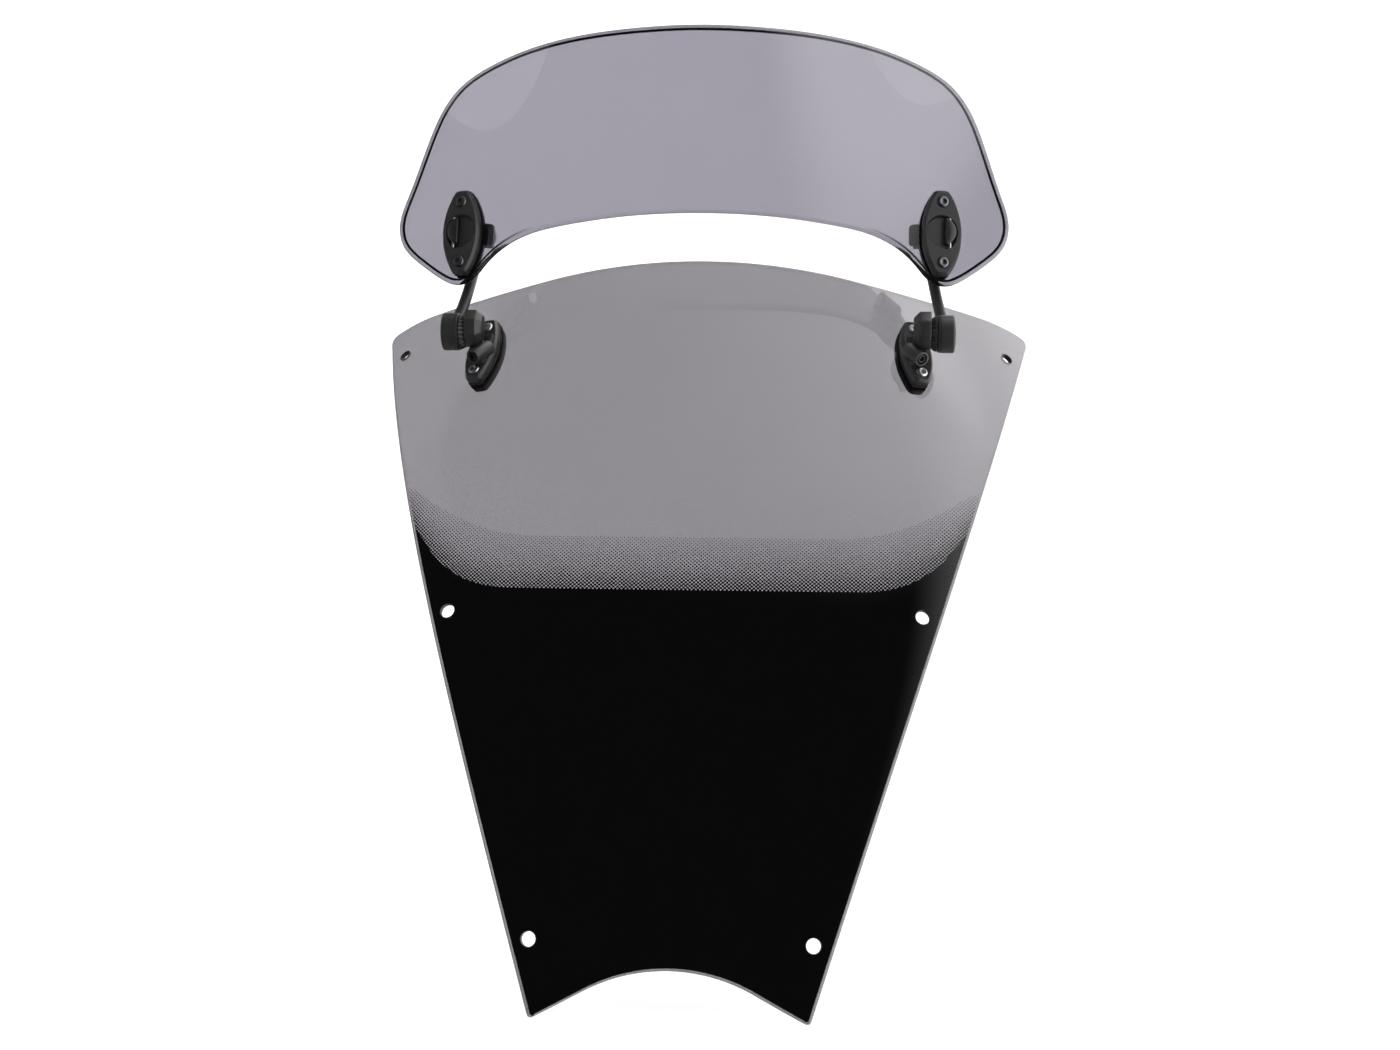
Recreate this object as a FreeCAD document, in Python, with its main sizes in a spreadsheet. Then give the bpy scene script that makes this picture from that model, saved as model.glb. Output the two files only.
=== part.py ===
import FreeCAD, Part
import Sketcher
import math
import os
from FreeCAD import Placement, Rotation, Vector

# A tall touring windscreen with an adjustable spoiler blade above its top edge.
# Millimetres. X points right, Y points from the front face towards the rider, Z points up.
# The origin is midway between the two lower fixing holes of the screen.

doc = FreeCAD.newDocument("Windscreen")

# ---- driving dimensions -------------------------------------------------------------------

SIZES = [
    # the bent screen sheet
    ("screenThick", 3.0, "thickness of the screen sheet"),
    ("archRadius", 93.0, "radius of the cut-out in the lower edge"),
    ("archTop", -13.5, "height of the top of the lower cut-out"),
    ("archHalf", 45.0, "half width of the round part of the cut-out"),
    ("tipX", 72.4, "lower tips of the screen, from the middle"),
    ("tipZ", -40.0, "height of the lower tips"),
    ("sideX", 132.7, "half width of the screen at the middle of its slightly hollow side"),
    ("sideZ", 141.0, "height of the middle of the side"),
    ("flankX", 197.0, "half width where the side runs into the upper corner"),
    ("flankZ", 323.5, "height of that point"),
    ("cornerX", 198.1, "half width of the screen at its upper corners"),
    ("cornerZ", 329.3, "height of the outermost point of an upper corner"),
    ("shoulderX", 194.6, "end of the shoulder beside the corner, from the middle"),
    ("shoulderZ", 333.0, "height of that point"),
    ("crownRadius", 400.0, "radius of the upper edge"),
    ("crownTop", 372.6, "height of the upper edge at the middle"),
    ("crownHalf", 95.0, "half width of the round part of the upper edge"),
    ("slopeX", 166.0, "end of the straight part of the upper edge, from the middle"),
    ("slopeZ", 344.1, "height of that point"),
    ("shoulderRise", 1.1, "how far the shoulder bulges over its chord"),
    ("lowHoleX", 73.9, "lower fixing holes, from the middle"),
    ("lowHoleBore", 4.0, "radius of the lower fixing holes"),
    ("midHoleX", 130.2, "middle fixing holes, from the middle"),
    ("midHoleZ", 166.6, "height of the middle fixing holes"),
    ("midHoleBore", 4.0, "radius of the middle fixing holes"),
    ("topHoleX", 184.5, "upper fixing holes, from the middle"),
    ("topHoleZ", 317.9, "height of the upper fixing holes"),
    ("topHoleBore", 3.5, "radius of the upper fixing holes"),
    ("screenBlankX", 214.0, "half width of the bent sheet before its outline is cut"),
    ("screenBlankLow", -56.0, "its lower end"),
    ("screenBlankHigh", 388.0, "its upper end"),
    ("drillLong", 30.0, "length of a drill that goes right through a sheet or plate"),
    # the spoiler blade
    ("bladeThick", 4.0, "thickness of the blade"),
    ("bladeBlankX", 194.0, "half width of the bent blade before its outline is cut"),
    ("bladeBlankLow", 345.0, "its lower end"),
    ("bladeBlankHigh", 515.0, "its upper end"),
    # leaf-shaped plates, on the screen and on the blade
    ("plateLength", 52.0, "length of a leaf plate on the blade"),
    ("plateWidth", 24.0, "its width at its middle"),
    ("plateEnd", 8.0, "its width at its blunt ends"),
    ("footLength", 47.0, "length of a leaf plate on the screen"),
    ("footWidth", 19.0, "its width at its middle"),
    ("footEnd", 8.0, "its width at its blunt ends"),
    ("footThick", 4.5, "thickness of the foot plate"),
    ("padThick", 1.5, "thickness of a rubber pad at its middle"),
    ("padSink", 1.4, "how far a pad blank reaches into the sheet before it is trimmed"),
    ("counterThick", 4.0, "thickness of the plate behind the screen"),
    ("footX", 127.0, "middle of the foot plates, from the middle of the screen"),
    ("footZ", 315.0, "height of the middle of the foot plates"),
    ("footTurn", 8.0, "degrees that the foot plates lean inwards at the top"),
    ("footSpread", 33.0, "distance between the two foot screws"),
    ("bossTop", 8.0, "height of the boss on the foot plate, from the sheet"),
    ("bossWide", 10.0, "width of the boss"),
    ("bossIn", 7.5, "how far the boss reaches inwards from the middle of the plate"),
    ("bossLong", 18.0, "length of the boss along the plate"),
    # small screws
    ("screwBore", 2.0, "radius of an M4 shank"),
    ("screwHole", 2.2, "radius of the clearance hole for it"),
    ("headBore", 3.5, "radius of an M4 head"),
    ("headTall", 2.4, "height of an M4 head"),
    ("headSeat", 1.4, "depth of the counterbore under a head"),
    ("seatGap", 0.3, "gap around a head in its counterbore"),
    ("headKey", 1.5, "half the corner distance of the hexagon socket in an M4 head"),
    ("headKeyDeep", 1.5, "depth of that socket"),
    ("nutBore", 4.0, "half the corner distance of an M4 nut"),
    ("nutTall", 3.2, "height of an M4 nut"),
    # lower joint
    ("drumY", 144.0, "lower joint axis, from the origin towards the rider"),
    ("drumZ", 327.5, "height of the lower joint axis"),
    ("drumIn", 140.0, "inner end of the drum, from the middle of the screen"),
    ("drumOut", 150.0, "outer end of the drum"),
    ("drumBore", 11.0, "outer radius of the drum"),
    ("recessBore", 8.0, "radius of the recess in the outer end of the drum"),
    ("recessIn", 143.5, "floor of that recess, from the middle of the screen"),
    ("boltBore", 3.0, "radius of the lower joint bolt"),
    ("runGap", 0.05, "radial running clearance of a joint pin"),
    ("ringIn", 136.5, "inner end of the toothed ring"),
    ("ringOut", 139.7, "outer end of the toothed ring"),
    ("ringBore", 10.4, "outer radius of the toothed ring"),
    ("ringTeeth", 24.0, "teeth on the ring"),
    ("toothGap", 0.92, "radius of the round gap between two teeth"),
    ("ringWeb", 0.8, "thickness of the ring behind the gaps"),
    ("knuckleIn", 126.3, "inner face of the knuckle"),
    ("knuckleCorner", 11.6, "corner radius of the knuckle's octagon"),
    ("knuckleNose", 8.2, "corner radius of its smaller inner face"),
    ("knuckleSlope", 3.6, "length of the knuckle's sloping faces"),
    ("blindWall", 1.5, "wall left at the closed end of the knuckle's bolt hole"),
    ("barrelX", 131.0, "end of the clamp barrel, from the middle of the screen"),
    ("barrelY", 135.0, "end of the clamp barrel, from the origin towards the rider"),
    ("barrelZ", 312.0, "height of the end of the clamp barrel"),
    ("barrelBore", 4.4, "outer radius of the clamp barrel"),
    ("barrelLong", 16.0, "length of the clamp barrel"),
    ("clampSeatBore", 3.2, "radius of the counterbore in the barrel"),
    ("clampSeatDeep", 3.6, "depth of that counterbore"),
    ("clampHeadBore", 3.1, "radius of the clamp screw's head"),
    ("clampHeadTall", 3.2, "height of its head"),
    ("clampLong", 9.5, "length of the clamp screw with its head"),
    ("clampKey", 1.6, "half the corner distance of its hexagon socket"),
    ("clampKeyDeep", 2.0, "depth of that socket"),
    ("webIn", 7.0, "how far the knuckle's web reaches inwards from the middle of the foot"),
    ("webWide", 8.0, "width of the web"),
    ("webLow", 15.0, "how far the web reaches down from the middle of the foot"),
    ("webLong", 14.0, "length of the web along the foot"),
    ("webTop", 14.0, "height of the web, from the sheet"),
    ("boltProud", 2.6, "how far the bolt stands out of the drum's recess floor"),
    ("hubNutBore", 5.0, "half the corner distance of the thin nut in the recess"),
    ("hubNutTall", 2.2, "height of that nut"),
    ("hubNutGap", 0.2, "gap under that nut"),
    ("buttonBore", 7.6, "radius of the release button"),
    ("buttonThick", 2.6, "thickness of the release button"),
    ("buttonProud", 0.4, "how far the button stands out of the drum"),
    ("dishBore", 15.0, "radius of the hollow in the button's face"),
    ("dishDeep", 0.8, "depth of that hollow"),
    ("springBore", 6.9, "outer radius of the wave spring"),
    ("springHole", 5.6, "inner radius of the wave spring"),
    ("springTall", 1.8, "height of the wave spring"),
    # arms and upper joint
    ("armWide", 7.0, "width of the arm"),
    ("armBow", 7.2, "how far the arm bows towards the rider"),
    ("eyeX", 134.0, "middle of the upper eye, from the middle of the screen"),
    ("eyeY", 176.5, "upper joint axis, from the origin towards the rider"),
    ("eyeZ", 387.8, "height of the upper joint axis"),
    ("eyeBore", 7.0, "outer radius of the eye"),
    ("eyeLong", 8.0, "length of the eye"),
    ("pinBore", 2.5, "radius of the upper joint pin"),
    ("openGap", 0.5, "radial clearance of the open pivot on the right side"),
    ("earGap", 0.3, "gap between an ear and the eye"),
    ("earThick", 3.6, "thickness of an ear of the rear bracket"),
    ("earBore", 7.0, "radius of the round end of an ear"),
    ("earReach", 14.0, "how far an ear reaches forward of the upper joint axis"),
    ("earLow", 2.5, "how far an ear's neck reaches below that axis"),
    ("earTall", 8.5, "height of the neck"),
    ("sweepGap", 0.4, "gap between a turning part and what it sweeps past"),
    ("pinHead", 4.0, "radius of the head of the upper joint pin"),
    ("pinHeadTall", 1.6, "height of that head"),
    ("clipBore", 4.2, "outer radius of the pin's clip"),
    ("clipHole", 1.9, "radius of the groove that the clip sits in"),
    ("clipThick", 0.9, "thickness of the clip"),
    ("clipOff", 1.5, "distance of the clip's groove from the inner ear"),
    ("pinTail", 2.4, "length of the pin past the inner ear"),
    # plates on the blade
    ("bladePlateX", 141.8, "middle of the blade plates, from the middle"),
    ("bladePlateZ", 387.6, "height of the middle of the blade plates"),
    ("bladeSpread", 37.0, "distance between the two blade screws"),
    ("frontThick", 5.0, "thickness of the front plate"),
    ("rearThick", 3.0, "thickness of the base of the rear bracket"),
    ("earFootWide", 17.5, "width of the flange that carries the ears"),
    ("earFootLong", 13.0, "length of that flange along the base"),
    ("gasketThick", 0.8, "thickness of the gasket in front of the blade"),
    ("gasketSink", 1.2, "how far the gasket blank reaches into the blade before it is trimmed"),
    ("recessDeep", 3.0, "depth of the finger recess in the front plate"),
    ("fingerBore", 9.0, "radius of the finger recess"),
    ("fingerX", -0.5, "middle of the recess, across the plate"),
    ("fingerUp", 0.5, "middle of the recess, up the plate"),
    ("leverBore", 8.6, "radius of the half-moon lever"),
    ("leverFlat", 1.2, "straight side of the lever, across the plate"),
    ("leverFloor", 0.7, "gap under the lever"),
    ("leverProud", 0.8, "how far the lever stands out of the plate"),
    ("leverAxle", 0.8, "radius of the lever's axle"),
    ("axleX", 4.4, "axle of the lever, across the plate"),
    ("axleOver", 1.3, "height of the axle over the lever's underside"),
    ("axleLong", 19.0, "length of the axle"),
]

sizes = doc.addObject("Spreadsheet::Sheet", "sizes")
for row, (alias, number, note) in enumerate(SIZES, start=1):
    sizes.set(f"A{row}", note)
    sizes.set(f"B{row}", str(number))
    sizes.setAlias(f"B{row}", alias)
doc.recompute()


def num(alias):
    """A driving dimension as a plain number."""
    return float(sizes.get(alias))


# ---- helpers ------------------------------------------------------------------------------

NODES = []


def keep(piece, label):
    """Names a finished sub-part and lists it for export."""
    piece.Label = label
    NODES.append(piece)
    return piece


def part(kind, name, place, **expressions):
    """A Part primitive whose properties are bound to the spreadsheet."""
    piece = doc.addObject("Part::" + kind, name)
    for prop, expression in expressions.items():
        piece.setExpression(prop, expression)
    piece.Placement = place
    return piece


def rod(name, place, radius, length):
    return part("Cylinder", name, place, Radius=radius, Height=length)


def fuse(name, *pieces):
    whole = doc.addObject("Part::MultiFuse", name)
    whole.Shapes = list(pieces)
    return whole


def cut(name, base, *tools):
    """base less every tool, as one Part::Cut."""
    less = doc.addObject("Part::Cut", name)
    less.Base = base
    less.Tool = tools[0] if len(tools) == 1 else fuse(name + "_tools", *tools)
    return less


def common(name, *pieces):
    shared = doc.addObject("Part::MultiCommon", name)
    shared.Shapes = list(pieces)
    return shared


def at(x, y, z):
    return Placement(Vector(x, y, z), Rotation())


def along(point, direction):
    """A placement at a point whose Z axis lies along a direction."""
    return Placement(Vector(*point), Rotation(Vector(0, 0, 1), Vector(*direction)))


def mirrored(piece, label):
    twin = doc.addObject("Part::Mirroring", label)
    twin.Source = piece
    twin.Base = Vector(0, 0, 0)
    twin.Normal = Vector(1, 0, 0)
    return keep(twin, label)


def both_sides(piece, label):
    """Keeps the right-hand piece and its mirror image on the left."""
    keep(piece, label + "_right")
    mirrored(piece, label + "_left")
    return piece


# ---- the two bent sheets ------------------------------------------------------------------


def screen_y(x, z):
    """Front face of the screen: leans back with height, and its sides sweep towards the rider."""
    rise, out = z / 340, x / 150
    lean = 340 * (0.265 * rise + 0.165 * rise**2 + 0.014 * rise**3)
    bow = 0.068 - 0.367 * rise + 0.523 * rise**2
    hook = 0.188 - 0.300 * rise + 0.184 * rise**2
    return lean + 150 * (bow * out**2 + hook * out**4) - 4.1


def blade_y(x, z):
    """Front face of the blade: almost upright, and its ends sweep towards the rider."""
    rise, out = (z - 440) / 70, x / 150
    lean = 70 * (-0.034 * rise - 0.020 * rise**2)
    return 127.85 + lean + 150 * ((0.415 + 0.091 * rise) * out**2 - 0.119 * out**4)


def face_normal(surface, x, z):
    """Unit normal of a sheet, out of its front face."""
    step = 0.05
    across = (surface(x + step, z) - surface(x - step, z)) / (2 * step)
    upward = (surface(x, z + step) - surface(x, z - step)) / (2 * step)
    return Vector(across, -1, upward).normalize()


def on_sheet(surface, x, z):
    """A placement on a sheet's front face: local Z out of the face, local Y up along it."""
    normal = face_normal(surface, x, z)
    upward = Vector(0, normal.z, -normal.y).normalize()
    point = Vector(x, surface(x, z), z)
    return Placement(point, Rotation(upward.cross(normal), upward, normal, "XYZ"))


def bent_blank(name, surface):
    """A bent sheet of even thickness, larger than the finished outline."""
    columns, rows = 27, 21
    low, high, thick = num(name + "BlankLow"), num(name + "BlankHigh"), num(name + "Thick")
    front, back = [], []
    for i in range(columns):
        x = num(name + "BlankX") * (2 * i / (columns - 1) - 1)
        line = [(x, low + (high - low) * j / (rows - 1)) for j in range(rows)]
        front.append([Vector(x, surface(x, z), z) for x, z in line])
        back.append([p - face_normal(surface, p.x, p.z) * thick for p in front[-1]])
    skins = []
    for grid in (front, back):
        skin = Part.BSplineSurface()
        skin.interpolate(grid)
        skins.append(skin.toShape())
    sides = [Part.makeRuledSurface(a, b) for a, b in zip(skins[0].Edges, skins[1].Edges)]
    shell = Part.makeShell(skins + sides)
    shell.sewShape()
    solid = Part.makeSolid(shell)
    if solid.Volume < 0:
        solid.reverse()
    blank = doc.addObject("Part::Feature", name + "_blank")
    blank.Shape = solid
    return blank


def prism_through(name, edges):
    """An outline drawn at y = 0, extended through the depth of a sheet."""
    outline = doc.addObject("Part::Feature", name + "_outline")
    outline.Shape = Part.Wire(Part.__sortEdges__(edges))
    prism = doc.addObject("Part::Extrusion", name)
    prism.Base = outline
    prism.DirMode = "Custom"
    prism.Dir = Vector(0, 1, 0)
    prism.LengthFwd = 400
    prism.LengthRev = 200
    prism.Solid = True
    return prism


def screen_outline():
    """Round arch below, slightly hollow sides, shallow crown above that drops to round corners."""

    def spot(name):
        return Vector(num(name + "X"), 0, num(name + "Z"))

    def flip(p):
        return Vector(-p.x, 0, p.z)

    def arc_end(radius, half, top):
        return Vector(num(half), 0, num(top) - num(radius) + math.sqrt(num(radius) ** 2 - num(half) ** 2))

    tip, side, flank, corner = spot("tip"), spot("side"), spot("flank"), spot("corner")
    shoulder, slope = spot("shoulder"), spot("slope")
    arch_end = arc_end("archRadius", "archHalf", "archTop")
    crown_end = arc_end("crownRadius", "crownHalf", "crownTop")
    chord = slope - shoulder
    crest = (slope + shoulder) * 0.5 + Vector(chord.z, 0, -chord.x).normalize() * num("shoulderRise")
    edges = [
        Part.Arc(flip(arch_end), Vector(0, 0, num("archTop")), arch_end).toShape(),
        Part.Arc(flip(crown_end), Vector(0, 0, num("crownTop")), crown_end).toShape(),
    ]
    for way in (Vector, flip):
        edges += [
            Part.makeLine(way(arch_end), way(tip)),
            Part.Arc(way(tip), way(side), way(flank)).toShape(),
            Part.Arc(way(flank), way(corner), way(shoulder)).toShape(),
            Part.Arc(way(shoulder), way(crest), way(slope)).toShape(),
            Part.makeLine(way(slope), way(crown_end)),
        ]
    return edges


def blade_outline():
    """A flat crown, shoulders that lean in, round lobes below and a shallow arch between them."""
    half = [
        (0, 503.7), (40, 503.0), (77, 501.0), (106, 496.6), (130, 489.2), (147, 479.8),
        (158.6, 466.0), (166, 449.7), (172, 431.6), (178.4, 411.7), (182.6, 394.0),
        (179.2, 380.4), (167.5, 369.0), (154, 359.8), (145, 356.6), (137, 358.6),
        (127, 369.0), (115, 379.4), (100, 386.2), (80, 390.2), (45, 394.0), (0, 395.5),
    ]
    right = [Vector(x, 0, z) for x, z in half]
    left = [Vector(-x, 0, z) for x, z in reversed(half[1:-1])]
    curve = Part.BSplineCurve()
    curve.interpolate(right + left, PeriodicFlag=True)
    return [curve.toShape()]


FIXING_HOLES = [
    ("lowHole", num("lowHoleX"), 0.0),
    ("midHole", num("midHoleX"), num("midHoleZ")),
    ("topHole", num("topHoleX"), num("topHoleZ")),
]


def hole_tool(name, place, radius):
    """A drill through a sheet, square to it at the placement."""
    return rod(name, place * at(0, 0, -num("drillLong") / 2), radius, "sizes.drillLong")


def screw_places(frame, spread):
    half = num(spread) / 2
    return [("upper", frame * at(0, half, 0)), ("lower", frame * at(0, -half, 0))]


def flip_side(place):
    """The mirror image of a placement, for a tool that is round about its Z axis."""
    base, axis = place.Base, place.Rotation.multVec(Vector(0, 0, 1))
    return along((-base.x, base.y, base.z), (-axis.x, axis.y, axis.z))


FOOT = on_sheet(screen_y, num("footX"), num("footZ")) * Placement(
    Vector(), Rotation(Vector(0, 0, 1), num("footTurn")),
)
BLADE = on_sheet(blade_y, num("bladePlateX"), num("bladePlateZ"))


def main_screen():
    blank = bent_blank("screen", screen_y)
    sheet = common("screen_sheet", blank, prism_through("screen_prism", screen_outline()))
    drills = []
    for name, x, z in FIXING_HOLES:
        place = on_sheet(screen_y, x, z)
        drills.append(hole_tool(name + "_right", place, f"sizes.{name}Bore"))
        drills.append(hole_tool(name + "_left", flip_side(place), f"sizes.{name}Bore"))
    for name, place in screw_places(FOOT, "footSpread"):
        drills.append(hole_tool(f"foot_drill_{name}_right", place, "sizes.screwHole"))
        drills.append(hole_tool(f"foot_drill_{name}_left", flip_side(place), "sizes.screwHole"))
    return keep(cut("screen", sheet, *drills), "main_screen")


def spoiler_blade():
    blank = bent_blank("blade", blade_y)
    sheet = common("blade_sheet", blank, prism_through("blade_prism", blade_outline()))
    drills = []
    for name, place in screw_places(BLADE, "bladeSpread"):
        drills.append(hole_tool(f"blade_drill_{name}_right", place, "sizes.screwHole"))
        drills.append(hole_tool(f"blade_drill_{name}_left", flip_side(place), "sizes.screwHole"))
    return keep(cut("blade", sheet, *drills), "spoiler_blade")


# ---- leaf plates --------------------------------------------------------------------------


def plane_of(body, role):
    return next(f for f in body.Origin.OriginFeatures if f.Role == role)


def leaf_sketch(body, name, kind, spread):
    """Blunt ends joined by two long arcs, with two screw holes on the long axis; kind is plate or foot."""
    sketch = body.newObject("Sketcher::SketchObject", name)
    sketch.AttachmentSupport = [(plane_of(body, "XY_Plane"), "")]
    sketch.MapMode = "FlatFace"
    length, width, end = (kind + word for word in ("Length", "Width", "End"))
    half_long, half_end = num(length) / 2, num(end) / 2
    bulge = num(width) / 2 - half_end
    radius = (half_long**2 + bulge**2) / (2 * bulge)
    middle = num(width) / 2 - radius
    angle = math.asin(half_long / radius)
    out = Vector(0, 0, 1)
    sketch.addGeometry([
        Part.LineSegment(Vector(-half_end, half_long, 0), Vector(half_end, half_long, 0)),
        Part.ArcOfCircle(Part.Circle(Vector(middle, 0, 0), out, radius), -angle, angle),
        Part.LineSegment(Vector(half_end, -half_long, 0), Vector(-half_end, -half_long, 0)),
        Part.ArcOfCircle(Part.Circle(Vector(-middle, 0, 0), out, radius), math.pi - angle, math.pi + angle),
        Part.Circle(Vector(0, num(spread) / 2, 0), out, num("screwHole")),
        Part.Circle(Vector(0, -num(spread) / 2, 0), out, num("screwHole")),
    ])
    rule = Sketcher.Constraint
    sketch.addConstraint([
        rule("Coincident", 0, 2, 1, 2),
        rule("Coincident", 1, 1, 2, 1),
        rule("Coincident", 2, 2, 3, 2),
        rule("Coincident", 3, 1, 0, 1),
        rule("Symmetric", 0, 1, 0, 2, -2),
        rule("Symmetric", 2, 1, 2, 2, -2),
        rule("PointOnObject", 1, 3, -1),
        rule("Equal", 1, 3),
        rule("PointOnObject", 4, 3, -2),
        rule("PointOnObject", 5, 3, -2),
    ])
    bulge_text = f"((sizes.{width} - sizes.{end}) / 2)"
    bound = [
        ("endWidth", rule("DistanceX", 0, 1, 0, 2, 2 * half_end), f"sizes.{end}"),
        ("length", rule("DistanceY", 2, 1, 0, 2, 2 * half_long), f"sizes.{length}"),
        ("upperHalf", rule("DistanceY", -1, 1, 0, 2, half_long), f"sizes.{length} / 2"),
        ("sideArc", rule("Radius", 1, radius),
         f"((sizes.{length} / 2) ^ 2 + {bulge_text} ^ 2) / (2 * {bulge_text})"),
        ("upperHole", rule("DistanceY", -1, 1, 4, 3, num(spread) / 2), f"sizes.{spread} / 2"),
        ("lowerHole", rule("DistanceY", 5, 3, -1, 1, num(spread) / 2), f"sizes.{spread} / 2"),
        ("upperBore", rule("Radius", 4, num("screwHole")), "sizes.screwHole"),
        ("lowerBore", rule("Radius", 5, num("screwHole")), "sizes.screwHole"),
    ]
    for label, constraint, expression in bound:
        sketch.renameConstraint(sketch.addConstraint(constraint), label)
        sketch.setExpression("Constraints." + label, expression)
    return sketch


def leaf(name, frame, low, thick, spread):
    """A leaf plate padded from the height low above the frame."""
    body = doc.addObject("PartDesign::Body", name)
    sketch = leaf_sketch(body, name + "_sketch", "foot" if spread == "footSpread" else "plate", spread)
    pad = body.newObject("PartDesign::Pad", name + "_pad")
    pad.Profile = sketch
    pad.setExpression("Length", thick)
    doc.recompute()
    body.Placement = frame * at(0, 0, low)
    return body


def head_seats(name, frame, top, spread):
    """Counterbores for two screw heads, cut down from the height top."""
    floor, radius = top - num("headSeat"), "sizes.headBore + sizes.seatGap"
    return [
        rod(f"{name}_seat_{end}", place * at(0, 0, floor), radius, "2 * sizes.headSeat")
        for end, place in screw_places(frame, spread)
    ]


def screw(name, place, top, length):
    """A button-head screw with a hexagon socket, its seat at the height top."""
    head = rod(name + "_head", place * at(0, 0, top), "sizes.headBore", "sizes.headTall")
    shank = rod(name + "_shank", place * at(0, 0, top - length), "sizes.screwBore", f"{length}")
    key = part(
        "Prism", name + "_key", place * at(0, 0, top + num("headTall") - num("headKeyDeep")),
        Circumradius="sizes.headKey", Height="2 * sizes.headKeyDeep",
    )
    return cut(name, fuse(name + "_blank", head, shank), key)


def hex_nut(name, place, low):
    ring = part(
        "Prism", name + "_hexagon", place * at(0, 0, low),
        Circumradius="sizes.nutBore", Height="sizes.nutTall",
    )
    bore = rod(name + "_bore", place * at(0, 0, low - 1), "sizes.screwBore", "sizes.nutTall + 2")
    return cut(name, ring, bore)


# ---- feet on the screen -------------------------------------------------------------------


def feet(screen):
    """Everything bolted to the screen on the right side, and its mirror image."""
    pad, foot, sheet = num("padThick"), num("footThick"), num("screenThick")
    sink = num("padSink")
    blank = leaf("foot_pad_blank", FOOT, -sink, "sizes.padThick + sizes.padSink", "footSpread")
    both_sides(cut("foot_pad", blank, screen), "foot_pad")

    plate = leaf("foot_plate_leaf", FOOT, pad, "sizes.footThick", "footSpread")
    boss = part(
        "Box", "foot_boss", FOOT * at(-num("bossIn"), -num("bossLong") / 2, pad),
        Length="sizes.bossWide", Width="sizes.bossLong", Height="sizes.bossTop - sizes.padThick",
    )
    seats = head_seats("foot", FOOT, pad + foot, "footSpread")
    foot_plate = cut("foot_plate", fuse("foot_plate_blank", plate, boss), *seats)
    both_sides(foot_plate, "foot_plate")

    back = -sheet - pad
    blank = leaf("counter_pad_blank", FOOT, back, "sizes.padThick + sizes.padSink", "footSpread")
    both_sides(cut("counter_pad", blank, screen), "counter_pad")

    deep = back - num("counterThick")
    plate = leaf("counter_plate_leaf", FOOT, deep, "sizes.counterThick", "footSpread")
    pockets, seat = [], pad + foot - num("headSeat")
    length = seat - deep + 1.0
    for end, place in screw_places(FOOT, "footSpread"):
        pockets.append(part(
            "Prism", f"nut_pocket_{end}", place * at(0, 0, deep - 1),
            Circumradius="sizes.nutBore", Height="sizes.nutTall + 1",
        ))
        both_sides(screw(f"foot_screw_{end}", place, seat, length), f"foot_screw_{end}")
        both_sides(hex_nut(f"foot_nut_{end}", place, deep), f"foot_nut_{end}")
    both_sides(cut("counter_plate", plate, *pockets), "counter_plate")
    return foot_plate


# ---- lower joints -------------------------------------------------------------------------

DRUM_Y, DRUM_Z = num("drumY"), num("drumZ")
EYE_Y, EYE_Z = num("eyeY"), num("eyeZ")
SIDEWAYS = Vector(1, 0, 0)
BARREL = along((num("barrelX"), num("barrelY"), num("barrelZ")), (-0.5, 0.75, 0.43))


def drum_rod(name, start, radius, length):
    """A cylinder on the lower joint axis, from start outwards."""
    return rod(name, along((start, DRUM_Y, DRUM_Z), SIDEWAYS), radius, length)


def eye_rod(name, start, radius, length):
    """A cylinder on the upper joint axis, from start outwards."""
    return rod(name, along((start, EYE_Y, EYE_Z), SIDEWAYS), radius, length)


def octagon(name, x, radius):
    """An octagon square to X, one flat up, a little above and behind the joint axis."""
    place = along((x, DRUM_Y + 1, DRUM_Z + 2), SIDEWAYS)
    turned = Placement(Vector(), Rotation(Vector(0, 0, 1), 22.5))
    ring = part("RegularPolygon", name, place * turned, Circumradius=radius)
    ring.Polygon = 8
    return ring


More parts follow.
